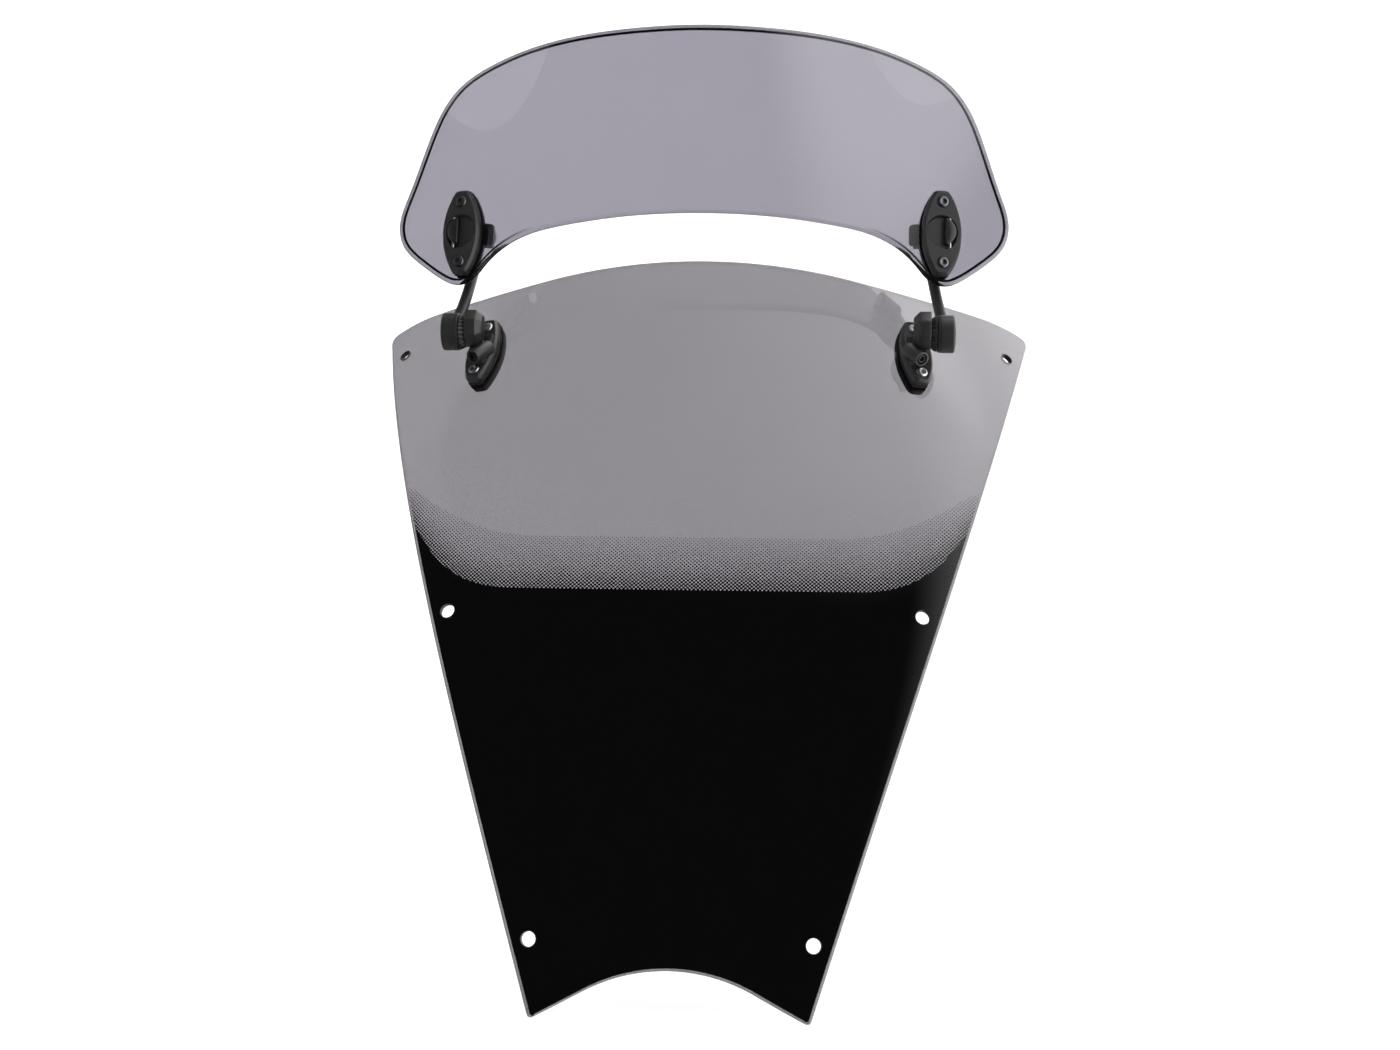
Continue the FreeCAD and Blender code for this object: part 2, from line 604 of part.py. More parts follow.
def knuckles(foot_plate):
    """A faceted block on the foot, with a clamp barrel and its socket screw."""
    block = doc.addObject("Part::Loft", "knuckle_block")
    block.Sections = [
        octagon("knuckle_nose", num("knuckleIn"), "sizes.knuckleNose"),
        octagon("knuckle_shoulder", num("knuckleIn") + num("knuckleSlope"), "sizes.knuckleCorner"),
        octagon("knuckle_end", num("ringIn"), "sizes.knuckleCorner"),
    ]
    block.Solid = True
    block.Ruled = True
    barrel = rod("clamp_barrel", BARREL, "sizes.barrelBore", "sizes.barrelLong")
    plate_top = num("padThick") + num("footThick")
    web = part(
        "Box", "knuckle_web", FOOT * at(-num("webIn"), -num("webLow"), plate_top - 0.2),
        Length="sizes.webWide", Width="sizes.webLong",
        Height="sizes.webTop - sizes.padThick - sizes.footThick + 0.2",
    )
    inner = num("knuckleIn") + num("blindWall")
    bore = drum_rod("knuckle_bolt_hole", inner, "sizes.boltBore", "sizes.drillLong")
    socket = rod("clamp_counterbore", BARREL * at(0, 0, -1), "sizes.clampSeatBore", "sizes.clampSeatDeep + 1")
    thread = rod("clamp_thread", BARREL, "sizes.screwBore", "sizes.clampLong + 0.5")
    lower = dict(screw_places(FOOT, "footSpread"))["lower"]
    head_room = rod(
        "foot_head_room", lower * at(0, 0, plate_top - num("headSeat")),
        "sizes.headBore + sizes.sweepGap", "sizes.headTall + sizes.sweepGap",
    )
    raw = cut("knuckle_raw", fuse("knuckle_blank", block, barrel, web), bore, socket, thread, head_room)
    both_sides(cut("knuckle", raw, foot_plate), "knuckle")

    sunk = num("clampSeatDeep") - num("clampHeadTall")
    head = rod("clamp_head", BARREL * at(0, 0, sunk), "sizes.clampHeadBore", "sizes.clampHeadTall")
    shank = rod("clamp_shank", BARREL * at(0, 0, sunk), "sizes.screwBore", "sizes.clampLong - 0.4")
    key = part(
        "Prism", "clamp_key", BARREL * at(0, 0, sunk - 1),
        Circumradius="sizes.clampKey", Height="sizes.clampKeyDeep + 1",
    )
    both_sides(cut("clamp_screw", fuse("clamp_screw_blank", head, shank), key), "clamp_screw")


def toothed_rings():
    """A ring with a toothed rim, fixed to the knuckle beside the drum."""
    body = doc.addObject("PartDesign::Body", "lock_ring")
    face = body.newObject("Sketcher::SketchObject", "ring_sketch")
    face.AttachmentSupport = [(plane_of(body, "XY_Plane"), "")]
    face.MapMode = "FlatFace"
    up = Vector(0, 0, 1)
    face.addGeometry([
        Part.Circle(Vector(), up, num("ringBore")),
        Part.Circle(Vector(), up, num("boltBore")),
    ])
    rule = Sketcher.Constraint
    face.addConstraint([rule("Coincident", 0, 3, -1, 1), rule("Coincident", 1, 3, -1, 1)])
    for index, alias in ((0, "ringBore"), (1, "boltBore")):
        face.renameConstraint(face.addConstraint(rule("Radius", index, num(alias))), alias)
        face.setExpression("Constraints." + alias, "sizes." + alias)
    pad = body.newObject("PartDesign::Pad", "ring_pad")
    pad.Profile = face
    pad.setExpression("Length", "sizes.ringOut - sizes.ringIn")
    gap = body.newObject("Sketcher::SketchObject", "gap_sketch")
    gap.AttachmentSupport = [(plane_of(body, "XY_Plane"), "")]
    gap.MapMode = "FlatFace"
    gap.addGeometry(Part.Circle(Vector(num("ringBore"), 0, 0), up, num("toothGap")))
    gap.addConstraint(rule("PointOnObject", 0, 3, -1))
    gap.renameConstraint(gap.addConstraint(rule("DistanceX", -1, 1, 0, 3, num("ringBore"))), "reach")
    gap.setExpression("Constraints.reach", "sizes.ringBore")
    gap.renameConstraint(gap.addConstraint(rule("Radius", 0, num("toothGap"))), "round")
    gap.setExpression("Constraints.round", "sizes.toothGap")
    pocket = body.newObject("PartDesign::Pocket", "tooth_gap")
    pocket.Profile = gap
    pocket.setExpression("Length", "sizes.ringOut - sizes.ringIn - sizes.ringWeb")
    pocket.Reversed = True
    doc.recompute()
    whole = pad.Shape.Volume
    assert pocket.Shape.Volume < whole, "the tooth gap cut nothing"
    spin = body.newObject("PartDesign::PolarPattern", "tooth_gaps")
    spin.Originals = [pocket]
    spin.Axis = (face, ["N_Axis"])
    spin.Angle = 360
    spin.Occurrences = int(num("ringTeeth"))
    body.Tip = spin
    doc.recompute()
    body.Placement = along((num("ringIn"), DRUM_Y, DRUM_Z), SIDEWAYS)
    both_sides(body, "lock_ring")


def joint_bolts():
    """The bolt that the drum turns on, its nut, the release button and its spring."""
    inner, floor, outer = num("knuckleIn") + num("blindWall"), num("recessIn"), num("drumOut")
    both_sides(drum_rod(
        "pivot_bolt", inner, "sizes.boltBore",
        "sizes.recessIn + sizes.boltProud - sizes.knuckleIn - sizes.blindWall",
    ), "pivot_bolt")
    hexagon = part(
        "Prism", "pivot_hexagon", along((floor + num("hubNutGap"), DRUM_Y, DRUM_Z), SIDEWAYS),
        Circumradius="sizes.hubNutBore", Height="sizes.hubNutTall",
    )
    bore = drum_rod("pivot_nut_bore", floor - 1, "sizes.boltBore", "sizes.hubNutTall + 3")
    both_sides(cut("pivot_nut", hexagon, bore), "pivot_nut")

    face = outer + num("buttonProud")
    inside = face - num("buttonThick")
    button = drum_rod("button_disc", inside, "sizes.buttonBore", "sizes.buttonThick")
    dish_x = face + num("dishBore") - num("dishDeep")
    dish = part("Sphere", "button_dish", at(dish_x, DRUM_Y, DRUM_Z), Radius="sizes.dishBore")
    both_sides(cut("release_button", button, dish), "release_button")

    below = inside - num("springTall")
    ring = drum_rod("spring_outer", below, "sizes.springBore", "sizes.springTall")
    hollow = drum_rod("spring_inner", below - 1, "sizes.springHole", "sizes.springTall + 2")
    both_sides(cut("button_spring", ring, hollow), "button_spring")


# ---- arms ---------------------------------------------------------------------------------


def bowed_side():
    """Side view of the arm: a band of even width about an arc from the drum to the eye."""
    low, high = Vector(0, DRUM_Y, DRUM_Z), Vector(0, EYE_Y, EYE_Z)
    chord = high - low
    rearward = Vector(0, chord.z, -chord.y).normalize()
    middle = (low + high) * 0.5 + rearward * num("armBow")
    radius = (chord.Length**2 / 4 + num("armBow") ** 2) / (2 * num("armBow"))
    centre = middle - rearward * radius
    half = num("armWide") / 2

    def moved(point, distance):
        return point + (point - centre).normalize() * distance

    edges = []
    for distance in (half, -half):
        edges.append(Part.Arc(*(moved(p, distance) for p in (low, middle, high))).toShape())
    for point in (low, high):
        edges.append(Part.makeLine(moved(point, half), moved(point, -half)))
    return edges


def arm(label, bore):
    """A drum, a bowed bar that slants inwards on its way up, and an eye."""
    profile = doc.addObject("Part::Feature", label + "_profile")
    profile.Shape = Part.Wire(Part.__sortEdges__(bowed_side()))
    side = doc.addObject("Part::Extrusion", label + "_side")
    side.Base = profile
    side.DirMode = "Custom"
    side.Dir = SIDEWAYS
    side.LengthFwd = 200
    side.Solid = True
    drum_in, drum_out = num("drumIn"), num("drumOut")
    drum_x = (drum_in + drum_out) / 2
    eye_in, eye_out = num("eyeX") - num("eyeLong") / 2, num("eyeX") + num("eyeLong") / 2
    rise, spare = EYE_Z - DRUM_Z, 9
    slant = math.degrees(math.atan((drum_x - num("eyeX")) / rise))
    leaning = Placement(Vector(drum_x, 0, DRUM_Z), Rotation(Vector(0, 1, 0), -slant))
    strip = part(
        "Box", label + "_strip", leaning * at(-num("armWide") / 2, 0, -spare),
        Length="sizes.armWide", Width="300", Height=f"{rise / math.cos(math.radians(slant)) + 2 * spare}",
    )
    past_drum, past_ear = "sizes.drumBore + sizes.sweepGap", "sizes.earBore + sizes.sweepGap"
    long = "sizes.drillLong"
    bar = cut(
        label + "_bar", common(label + "_band", side, strip),
        drum_rod(label + "_ring_room", drum_in - num("drillLong"), past_drum, long),
        eye_rod(label + "_inner_room", eye_in - num("drillLong"), past_ear, long),
        eye_rod(label + "_outer_room", eye_out, past_ear, long),
    )
    drum = drum_rod(label + "_drum", drum_in, "sizes.drumBore", "sizes.drumOut - sizes.drumIn")
    eye = eye_rod(label + "_eye", eye_in, "sizes.eyeBore", "sizes.eyeLong")
    recess = "sizes.drumOut - sizes.recessIn + 1"
    return cut(
        label, fuse(label + "_blank", drum, bar, eye),
        drum_rod(label + "_bore", drum_in - 1, "sizes.boltBore + sizes.runGap", long),
        drum_rod(label + "_recess", num("recessIn"), "sizes.recessBore", recess),
        eye_rod(label + "_pin_hole", eye_in - 1, bore, "sizes.eyeLong + 2"),
    )


def arms():
    keep(arm("arm_right", "sizes.pinBore + sizes.openGap"), "arm_right")
    mirrored(arm("arm_twin", "sizes.pinBore + sizes.runGap"), "arm_left")


# ---- brackets on the blade ----------------------------------------------------------------


def rear_brackets(blade):
    """A pad and a base plate behind the blade, with two ears around the arm's eye."""
    back = -num("bladeThick") - num("padThick")
    blank = leaf("rear_pad_blank", BLADE, back, "sizes.padThick + sizes.padSink", "bladeSpread")
    both_sides(cut("rear_pad", blank, blade), "rear_pad")

    base = leaf("rear_base", BLADE, back - num("rearThick"), "sizes.rearThick", "bladeSpread")
    eye_in, eye_out = num("eyeX") - num("eyeLong") / 2, num("eyeX") + num("eyeLong") / 2
    inner = eye_in - num("earGap") - num("earThick")
    outer = eye_out + num("earGap")
    ears = []
    for end, start in (("inner", inner), ("outer", outer)):
        ears.append(eye_rod(f"ear_{end}_disc", start, "sizes.earBore", "sizes.earThick"))
        ears.append(part(
            "Box", f"ear_{end}_neck", at(start, EYE_Y - num("earReach"), EYE_Z - num("earLow")),
            Length="sizes.earThick", Width="sizes.earReach", Height="sizes.earTall",
        ))
    foot = part(
        "Box", "ear_foot", BLADE * at(-num("earFootWide"), -num("earFootLong") / 2, back - num("rearThick")),
        Length="sizes.earFootWide", Width="sizes.earFootLong", Height="sizes.rearThick",
    )
    clear = part("Box", "ear_clear", BLADE * at(-40, -40, back), Length="80", Width="80", Height="40")
    pin_hole = eye_rod("ear_pin_hole", inner - 1, "sizes.pinBore", "sizes.drillLong")
    threads = [
        rod(f"bracket_thread_{end}", place * at(0, 0, back - num("rearThick") - 1), "sizes.screwBore", "10")
        for end, place in screw_places(BLADE, "bladeSpread")
    ]
    room = eye_rod(
        "eye_room", eye_in - num("earGap"), "sizes.eyeBore + 2 * sizes.sweepGap",
        "sizes.eyeLong + 2 * sizes.earGap",
    )
    blank = fuse("rear_bracket_blank", base, foot, *ears)
    both_sides(cut("rear_bracket", blank, clear, pin_hole, room, *threads), "rear_bracket")

    head = eye_rod("hinge_head", outer + num("earThick"), "sizes.pinHead", "sizes.pinHeadTall")
    shank = eye_rod(
        "hinge_shank", inner - num("pinTail"), "sizes.pinBore",
        "sizes.pinTail + 2 * (sizes.earThick + sizes.earGap) + sizes.eyeLong",
    )
    groove_x = inner - num("clipOff")
    groove = cut(
        "hinge_groove", eye_rod("groove_outer", groove_x, "sizes.clipBore", "sizes.clipThick"),
        eye_rod("groove_inner", groove_x, "sizes.clipHole", "sizes.clipThick"),
    )
    both_sides(cut("hinge_pin", fuse("hinge_blank", head, shank), groove), "hinge_pin")
    washer = eye_rod("clip_disc", groove_x, "sizes.clipBore", "sizes.clipThick")
    hole = eye_rod("clip_bore", groove_x - 1, "sizes.clipHole", "sizes.clipThick + 2")
    both_sides(cut("pin_clip", washer, hole), "pin_clip")


def front_plates(blade):
    """A gasket and a leaf plate before the blade, with a finger recess and a half-moon lever."""
    gasket, sink = num("gasketThick"), num("gasketSink")
    blank = leaf("gasket_blank", BLADE, -sink, "sizes.gasketThick + sizes.gasketSink", "bladeSpread")
    both_sides(cut("front_gasket", blank, blade), "front_gasket")

    top = gasket + num("frontThick")
    floor = top - num("recessDeep")
    plate = leaf("front_leaf", BLADE, gasket, "sizes.frontThick", "bladeSpread")
    finger_x, finger_up = num("fingerX"), num("fingerUp")
    finger = rod(
        "finger_recess", BLADE * at(finger_x, finger_up, floor), "sizes.fingerBore", "sizes.recessDeep + 1",
    )
    low = floor + num("leverFloor")
    axle_start = Vector(num("axleX"), -num("axleLong") / 2, low + num("axleOver"))
    axle_place = BLADE * Placement(axle_start, Rotation(Vector(1, 0, 0), -90))
    axle_hole = rod("axle_hole", axle_place, "sizes.leverAxle", "sizes.axleLong")
    seats = head_seats("blade", BLADE, top, "bladeSpread")
    both_sides(cut("front_plate", plate, finger, axle_hole, *seats), "front_plate")
    both_sides(rod("lever_axle", axle_place, "sizes.leverAxle", "sizes.axleLong"), "lever_axle")

    moon = rod(
        "lever_disc", BLADE * at(finger_x, finger_up, low), "sizes.leverBore",
        "sizes.recessDeep - sizes.leverFloor + sizes.leverProud",
    )
    half = part(
        "Box", "lever_half", BLADE * at(num("leverFlat"), -num("plateWidth") / 2, low - 1),
        Length="sizes.plateWidth / 2", Width="sizes.plateWidth", Height="2 * sizes.frontThick",
    )
    bore = rod("lever_bore", axle_place, "sizes.leverAxle + sizes.runGap", "sizes.axleLong")
    both_sides(cut("latch_lever", common("lever_blank", moon, half), bore), "latch_lever")

    seat = top - num("headSeat")
    length = seat + num("bladeThick") + num("padThick") + num("rearThick")
    for end, place in screw_places(BLADE, "bladeSpread"):
        both_sides(screw(f"blade_screw_{end}", place, seat, length), f"blade_screw_{end}")


def build():
    screen = main_screen()
    blade = spoiler_blade()
    knuckles(feet(screen))
    toothed_rings()
    joint_bolts()
    arms()
    rear_brackets(blade)
    front_plates(blade)
    doc.recompute()


def check_and_export():
    for piece in doc.Objects:
        bad = {"Invalid", "Error"} & set(piece.State)
        assert not bad, f"{piece.Name} is {bad}"
    os.makedirs("parts", exist_ok=True)
    for node in NODES:
        shape = node.Shape
        assert not shape.isNull() and shape.isValid(), f"{node.Label} has no valid shape"
        assert len(shape.Solids) == 1, f"{node.Label} has {len(shape.Solids)} solids"
        shape.exportStep(f"parts/{node.Label}.step")
        print(f"{node.Label:24s} {shape.Volume:11.1f} mm3")
    print(len(NODES), "nodes")


build()
check_and_export()
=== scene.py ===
import math

import bpy
import numpy as np
from mathutils import Matrix, Vector
from mathutils.geometry import delaunay_2d_cdt


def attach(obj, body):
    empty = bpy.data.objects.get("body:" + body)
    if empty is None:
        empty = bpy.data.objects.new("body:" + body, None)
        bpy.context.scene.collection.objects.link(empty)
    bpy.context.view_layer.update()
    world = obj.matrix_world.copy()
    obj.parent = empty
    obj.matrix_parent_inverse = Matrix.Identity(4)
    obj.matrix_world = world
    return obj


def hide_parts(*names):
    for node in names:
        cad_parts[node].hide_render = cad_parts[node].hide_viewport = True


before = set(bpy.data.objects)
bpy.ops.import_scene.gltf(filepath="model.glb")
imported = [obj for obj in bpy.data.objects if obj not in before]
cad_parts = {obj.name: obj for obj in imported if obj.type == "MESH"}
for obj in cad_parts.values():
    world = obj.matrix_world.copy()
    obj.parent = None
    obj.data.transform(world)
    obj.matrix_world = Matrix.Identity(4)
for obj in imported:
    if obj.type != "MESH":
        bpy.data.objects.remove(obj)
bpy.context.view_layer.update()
print("frame loaded:", len(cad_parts), "nodes")

# Sizes are millimetres unless a note says otherwise; meshes are written in metres.
mm = 0.001


def linear(hexText, alpha=1.0):
    # sRGB hex to linear: c/12.92 below 0.04045, else ((c + 0.055) / 1.055) to the power 2.4
    raw = [int(hexText[i:i + 2], 16) / 255 for i in (1, 3, 5)]
    return [c / 12.92 if c <= 0.04045 else ((c + 0.055) / 1.055) ** 2.4 for c in raw] + [alpha]


def startMaterial(name):
    # An empty node tree with its output node, and both are returned.
    material = bpy.data.materials.new(name)
    material.use_nodes = True
    material.node_tree.nodes.clear()
    return material, addNode(material, "OutputMaterial")


def addNode(material, kind, settings=None, links=None):
    # Adds one shader node; settings are properties or input values, links go from (node, output) to an input.
    node = material.node_tree.nodes.new("ShaderNode" + kind)
    for key, value in (settings or {}).items():
        if isinstance(key, int) or key in node.inputs:
            node.inputs[key].default_value = value
        else:
            setattr(node, key, value)
    for key, (source, output) in (links or {}).items():
        material.node_tree.links.new(source.outputs[output], node.inputs[key])
    return node


def arcPoints(a, middle, b, count=60):
    # Circle through three points: its centre solves |p - c| equal for all three; then even angles from a to b.
    a, middle, b = (np.array(p, float) for p in (a, middle, b))
    matrix = 2 * np.array([middle - a, b - a])
    centre = np.linalg.solve(matrix, [middle @ middle - a @ a, b @ b - a @ a])
    angles = [math.atan2(*(p - centre)[::-1]) for p in (a, middle, b)]
    first, mid, last = angles
    turn = 2 * math.pi
    sweep = (last - first) % turn
    if (mid - first) % turn > sweep:
        sweep -= turn
    theta = first + sweep * np.linspace(0, 1, count)
    radius = np.linalg.norm(a - centre)
    return centre + radius * np.stack([np.cos(theta), np.sin(theta)], 1)


def splineLoop(points, count=900):
    # Closed cubic spline: knots spaced by chord length; its second derivatives solve the cyclic equations that
    # keep the slope smooth at every knot.
    p = np.array(points, float)
    n = len(p)
    h = np.linalg.norm(np.roll(p, -1, 0) - p, axis=1)
    before = np.roll(h, 1)
    matrix = np.zeros((n, n))
    rows = np.arange(n)
    matrix[rows, rows] = 2 * (before + h)
    matrix[rows, (rows - 1) % n] = before
    matrix[rows, (rows + 1) % n] = h
    slopes = (np.roll(p, -1, 0) - p) / h[:, None]
    bend = np.linalg.solve(matrix, 6 * (slopes - np.roll(slopes, 1, 0)))
    knots = np.concatenate([[0], np.cumsum(h)])
    where = np.linspace(0, knots[-1], count, endpoint=False)
    i = np.clip(np.searchsorted(knots, where, side="right") - 1, 0, n - 1)
    j = (i + 1) % n
    left, right = (knots[i + 1] - where)[:, None], (where - knots[i])[:, None]
    span = h[i][:, None]
    cubic = (bend[i] * left**3 + bend[j] * right**3) / (6 * span)
    return cubic + (p[i] / span - bend[i] * span / 6) * left + (p[j] / span - bend[j] * span / 6) * right


def evenLoop(points, count, softness=0.0):
    # A closed line resampled at equal steps; softness in mm rounds its corners with a Gaussian average.
    p = np.array(points, float)
    gaps = np.linalg.norm(np.roll(p, -1, 0) - p, axis=1)
    p, gaps = p[gaps > 1e-6], gaps[gaps > 1e-6]
    length = np.concatenate([[0], np.cumsum(gaps)])
    closed = np.vstack([p, p[:1]])

    def pick(number):
        where = np.linspace(0, length[-1], number, endpoint=False)
        return np.stack([np.interp(where, length, closed[:, k]) for k in range(p.shape[1])], 1)

    if softness <= 0:
        return pick(count)
    fine = pick(4096)
    wave = np.fft.fftfreq(4096, length[-1] / 4096) * 2 * np.pi
    fine = np.fft.ifft(np.fft.fft(fine, axis=0) * np.exp(-0.5 * (wave * softness) ** 2)[:, None], axis=0).real
    return fine[:: 4096 // count][:count] if 4096 % count == 0 else evenLoop(fine, count)


def loopNormals(loop):
    # Outward normals of a closed plane line, from the central difference of its neighbours.
    step = np.roll(loop, -1, 0) - np.roll(loop, 1, 0)
    area = np.sum(loop[:, 0] * np.roll(loop[:, 1], -1) - np.roll(loop[:, 0], -1) * loop[:, 1])
    side = np.stack([step[:, 1], -step[:, 0]], 1) * (1 if area > 0 else -1)
    return side / np.linalg.norm(side, axis=1)[:, None]


def circle(radius, centre=(0, 0), count=48, sides=0, turn=0.0):
    # Points on a circle, or with sides on a regular polygon of that corner radius, counter-clockwise.
    angle = 2 * np.pi * np.arange(count) / count + turn
    reach = np.full(count, float(radius))
    if sides:
        wedge = 2 * np.pi / sides
        reach = radius * math.cos(wedge / 2) / np.cos((angle - turn) % wedge - wedge / 2)
    return np.stack([centre[0] + reach * np.cos(angle), centre[1] + reach * np.sin(angle)], 1)


def insideLoop(points, loop):
    # Even-odd rule: a point is inside if a level line from it crosses the loop an odd number of times.
    x, y = points[:, :1], points[:, 1:2]
    ax, ay = loop[:, 0], loop[:, 1]
    bx, by = np.roll(ax, -1), np.roll(ay, -1)
    crosses = (ay > y) != (by > y)
    with np.errstate(divide="ignore", invalid="ignore"):
        at = ax + (y - ay) * (bx - ax) / (by - ay)
    return (np.sum(crosses & (x < at), 1) % 2) == 1


def fillPlane(outer, holes=(), spacing=None):
    # Triangles between an outer loop and hole loops, with grid points between them where spacing is given.
    loops = [outer, *holes]
    points, edges = np.vstack(loops), []
    start = 0
    for loop in loops:
        edges += [(start + i, start + (i + 1) % len(loop)) for i in range(len(loop))]
        start += len(loop)
    if spacing:
        low, high = outer.min(0), outer.max(0)
        gx, gy = np.meshgrid(*(np.arange(low[k] + spacing / 2, high[k], spacing) for k in (0, 1)))
        grid = np.stack([gx.ravel(), gy.ravel()], 1)
        keep = insideLoop(grid, outer)
        for loop in holes:
            keep &= ~insideLoop(grid, loop)
        grid = grid[keep]
        near = np.min(np.linalg.norm(grid[:, None] - points[None], axis=2), axis=1)
        points = np.vstack([points, grid[near > 0.45 * spacing]])
    made = delaunay_2d_cdt([Vector(p) for p in points], edges, [], 1, 1e-7)
    spots = np.array([tuple(v) for v in made[0]])
    triangles = np.array([list(f) for f in made[2]])
    origin = np.array([o[0] if o else -1 for o in made[3]])
    middle = spots[triangles].mean(1)
    keep = np.ones(len(middle), bool)
    for loop in holes:
        keep &= ~insideLoop(middle, loop)
    triangles = origin[triangles[keep]]
    a, b, c = (points[triangles[:, k]] for k in range(3))
    turned = (b - a)[:, 0] * (c - a)[:, 1] - (b - a)[:, 1] * (c - a)[:, 0] < 0
    triangles[turned] = triangles[turned][:, ::-1]
    return points, triangles


class Shell:
    # Collects vertices and faces of one closed piece; every block keeps a material number.
    def __init__(self):
        self.points, self.faces, self.numbers, self.total = [], [], [], 0

    def add(self, points):
        points = np.asarray(points, float).reshape(-1, 3)
        self.points.append(points)
        self.total += len(points)
        return np.arange(self.total - len(points), self.total)

    def face(self, faces, number=0):
        faces = np.asarray(faces)
        self.faces += faces.tolist()
        self.numbers += [number] * len(faces)

    def band(self, a, b, number=0):
        # Quads between two closed rings of equal length.
        self.face(np.stack([a, np.roll(a, -1), np.roll(b, -1), b], 1), number)

    def fan(self, ring, point, number=0):
        # Triangles from a closed ring to one point.
        tip = self.add([point])[0]
        self.face(np.stack([ring, np.roll(ring, -1), np.full(len(ring), tip)], 1), number)

    def flip(self, since=0):
        self.faces[since:] = [f[::-1] for f in self.faces[since:]]

    def done(self):
        return np.vstack(self.points), self.faces, self.numbers


def makePiece(name, shell, materials, body, replaced, sharp=40, mirror=False, normals=None):
    # Writes a shell as a mesh object; a mirrored piece has x reversed and its faces turned round to match.
    points, faces, numbers = shell.done() if isinstance(shell, Shell) else shell
    points = points * mm
    if mirror:
        points = points * [-1, 1, 1]
        faces = [f[::-1] for f in faces]
        normals = None if normals is None else normals * [-1, 1, 1]
    mesh = bpy.data.meshes.new(name)
    mesh.from_pydata(points, [], faces)
    mesh.polygons.foreach_set("material_index", numbers)
    mesh.polygons.foreach_set("use_smooth", [True] * len(faces))
    for material in materials:
        mesh.materials.append(material)
    mesh.validate()
    mesh.set_sharp_from_angle(angle=math.radians(sharp))
    if normals is not None:
        mesh.normals_split_custom_set_from_vertices(normals)
    piece = bpy.data.objects.new(name, mesh)
    bpy.context.scene.collection.objects.link(piece)
    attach(piece, body)
    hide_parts(*replaced)
    return piece


# The two bent sheets.

screenForm = {
    "thick": 3.0,         # sheet thickness
    "spacing": 7.0,       # size of the mesh grid
    "holeEase": 0.35,     # rounding of a drilled edge
    "soften": 3,          # passes that even out the rim's direction at the sharp tips
    "printStart": 208.0,  # height of the first dots at the middle
    "printSolid": 179.0,  # height where the print turns solid
    "startLift": 26.0,    # how much the first dots rise towards the sides
    "solidLift": 40.0,    # the same for the solid print, which rises later and more steeply
    "dotWide": 2.26,      # pitch of the dots across
    "dotTall": 1.92,      # pitch of the dots upwards, two staggered rows
    "holes": [(73.9, 0.0, 4.0), (130.2, 166.6, 4.0), (184.5, 317.9, 3.5)],  # x, z and radius
}
bladeForm = {
    "thick": 4.0,
    "spacing": 6.0,
    "holeEase": 0.35,
    "soften": 1,
    "lineFrom": 2.3,     # dark line of painted shade inside the rounded edge: where it starts, from the edge
    "lineTo": 3.7,       # and where it ends
}


def screenY(x, z):
    # Lean: a cubic in height. Sweep: a square and a fourth power of x whose strengths change with height.
    rise, out = z / 340, x / 150
    lean = 340 * (0.265 * rise + 0.165 * rise**2 + 0.014 * rise**3)
    bow = 0.068 - 0.367 * rise + 0.523 * rise**2
    hook = 0.188 - 0.300 * rise + 0.184 * rise**2
    return lean + 150 * (bow * out**2 + hook * out**4) - 4.1


def bladeY(x, z):
    # Almost upright; the ends sweep back with the square of x, less a fourth power.
    rise, out = (z - 440) / 70, x / 150
    bow = (0.415 + 0.091 * rise) * out**2 - 0.119 * out**4
    return 127.85 + 70 * (-0.034 * rise - 0.020 * rise**2) + 150 * bow


def frontNormal(surface, x, z):
    # (dy/dx, -1, dy/dz) made one long: the way out of the front face.
    step = 0.05
    across = (surface(x + step, z) - surface(x - step, z)) / (2 * step)
    upward = (surface(x, z + step) - surface(x, z - step)) / (2 * step)
    n = np.stack([across, -np.ones_like(across), upward], -1)
    return n / np.linalg.norm(n, axis=-1)[..., None]


def onSheet(surface, x, z):
    # A frame on a front face: origin, across, up and out of the face, as rows.
    n = frontNormal(surface, np.array(float(x)), np.array(float(z)))
    up = np.array([0, n[2], -n[1]])
    up /= np.linalg.norm(up)
    return np.array([x, surface(x, z), z]), np.cross(up, n), up, n


def screenOutline():
    # Arch, tips, slightly hollow sides, round corners and a shallow crown; the left half mirrors the right.
    archEnd = (45, -13.5 - 93 + math.sqrt(93**2 - 45**2))
    crownEnd = (95, 372.6 - 400 + math.sqrt(400**2 - 95**2))
    tip, side, flank, corner = (72.4, -40), (132.7, 141), (197, 323.5), (198.1, 329.3)
    shoulder, slope = np.array([194.6, 333]), np.array([166, 344.1])
    chord = slope - shoulder
    crest = (slope + shoulder) / 2 + np.array([chord[1], -chord[0]]) / np.linalg.norm(chord) * 1.1
    half = np.vstack([
        arcPoints((0, -13.5), (22.5, -13.5 - 93 + math.sqrt(93**2 - 22.5**2)), archEnd),
        np.linspace(archEnd, tip, 30),
        arcPoints(tip, side, flank, 200),
        arcPoints(flank, corner, shoulder, 20),
        arcPoints(shoulder, crest, slope, 30),
        np.linspace(slope, crownEnd, 60),
        arcPoints(crownEnd, (47.5, 372.6 - 400 + math.sqrt(400**2 - 47.5**2)), (0, 372.6)),
    ])
    return np.vstack([half, half[::-1] * [-1, 1]])


def bladeOutline():
    # Flat crown, leaning shoulders, round lobes below and a shallow arch between them.
    half = [
        (0, 503.7), (40, 503.0), (77, 501.0), (106, 496.6), (130, 489.2), (147, 479.8),
        (158.6, 466.0), (166, 449.7), (172, 431.6), (178.4, 411.7), (182.6, 394.0),
        (179.2, 380.4), (167.5, 369.0), (154, 359.8), (145, 356.6), (137, 358.6),
        (127, 369.0), (115, 379.4), (100, 386.2), (80, 390.2), (45, 394.0), (0, 395.5),
    ]
    return splineLoop(half + [(-x, z) for x, z in reversed(half[1:-1])])


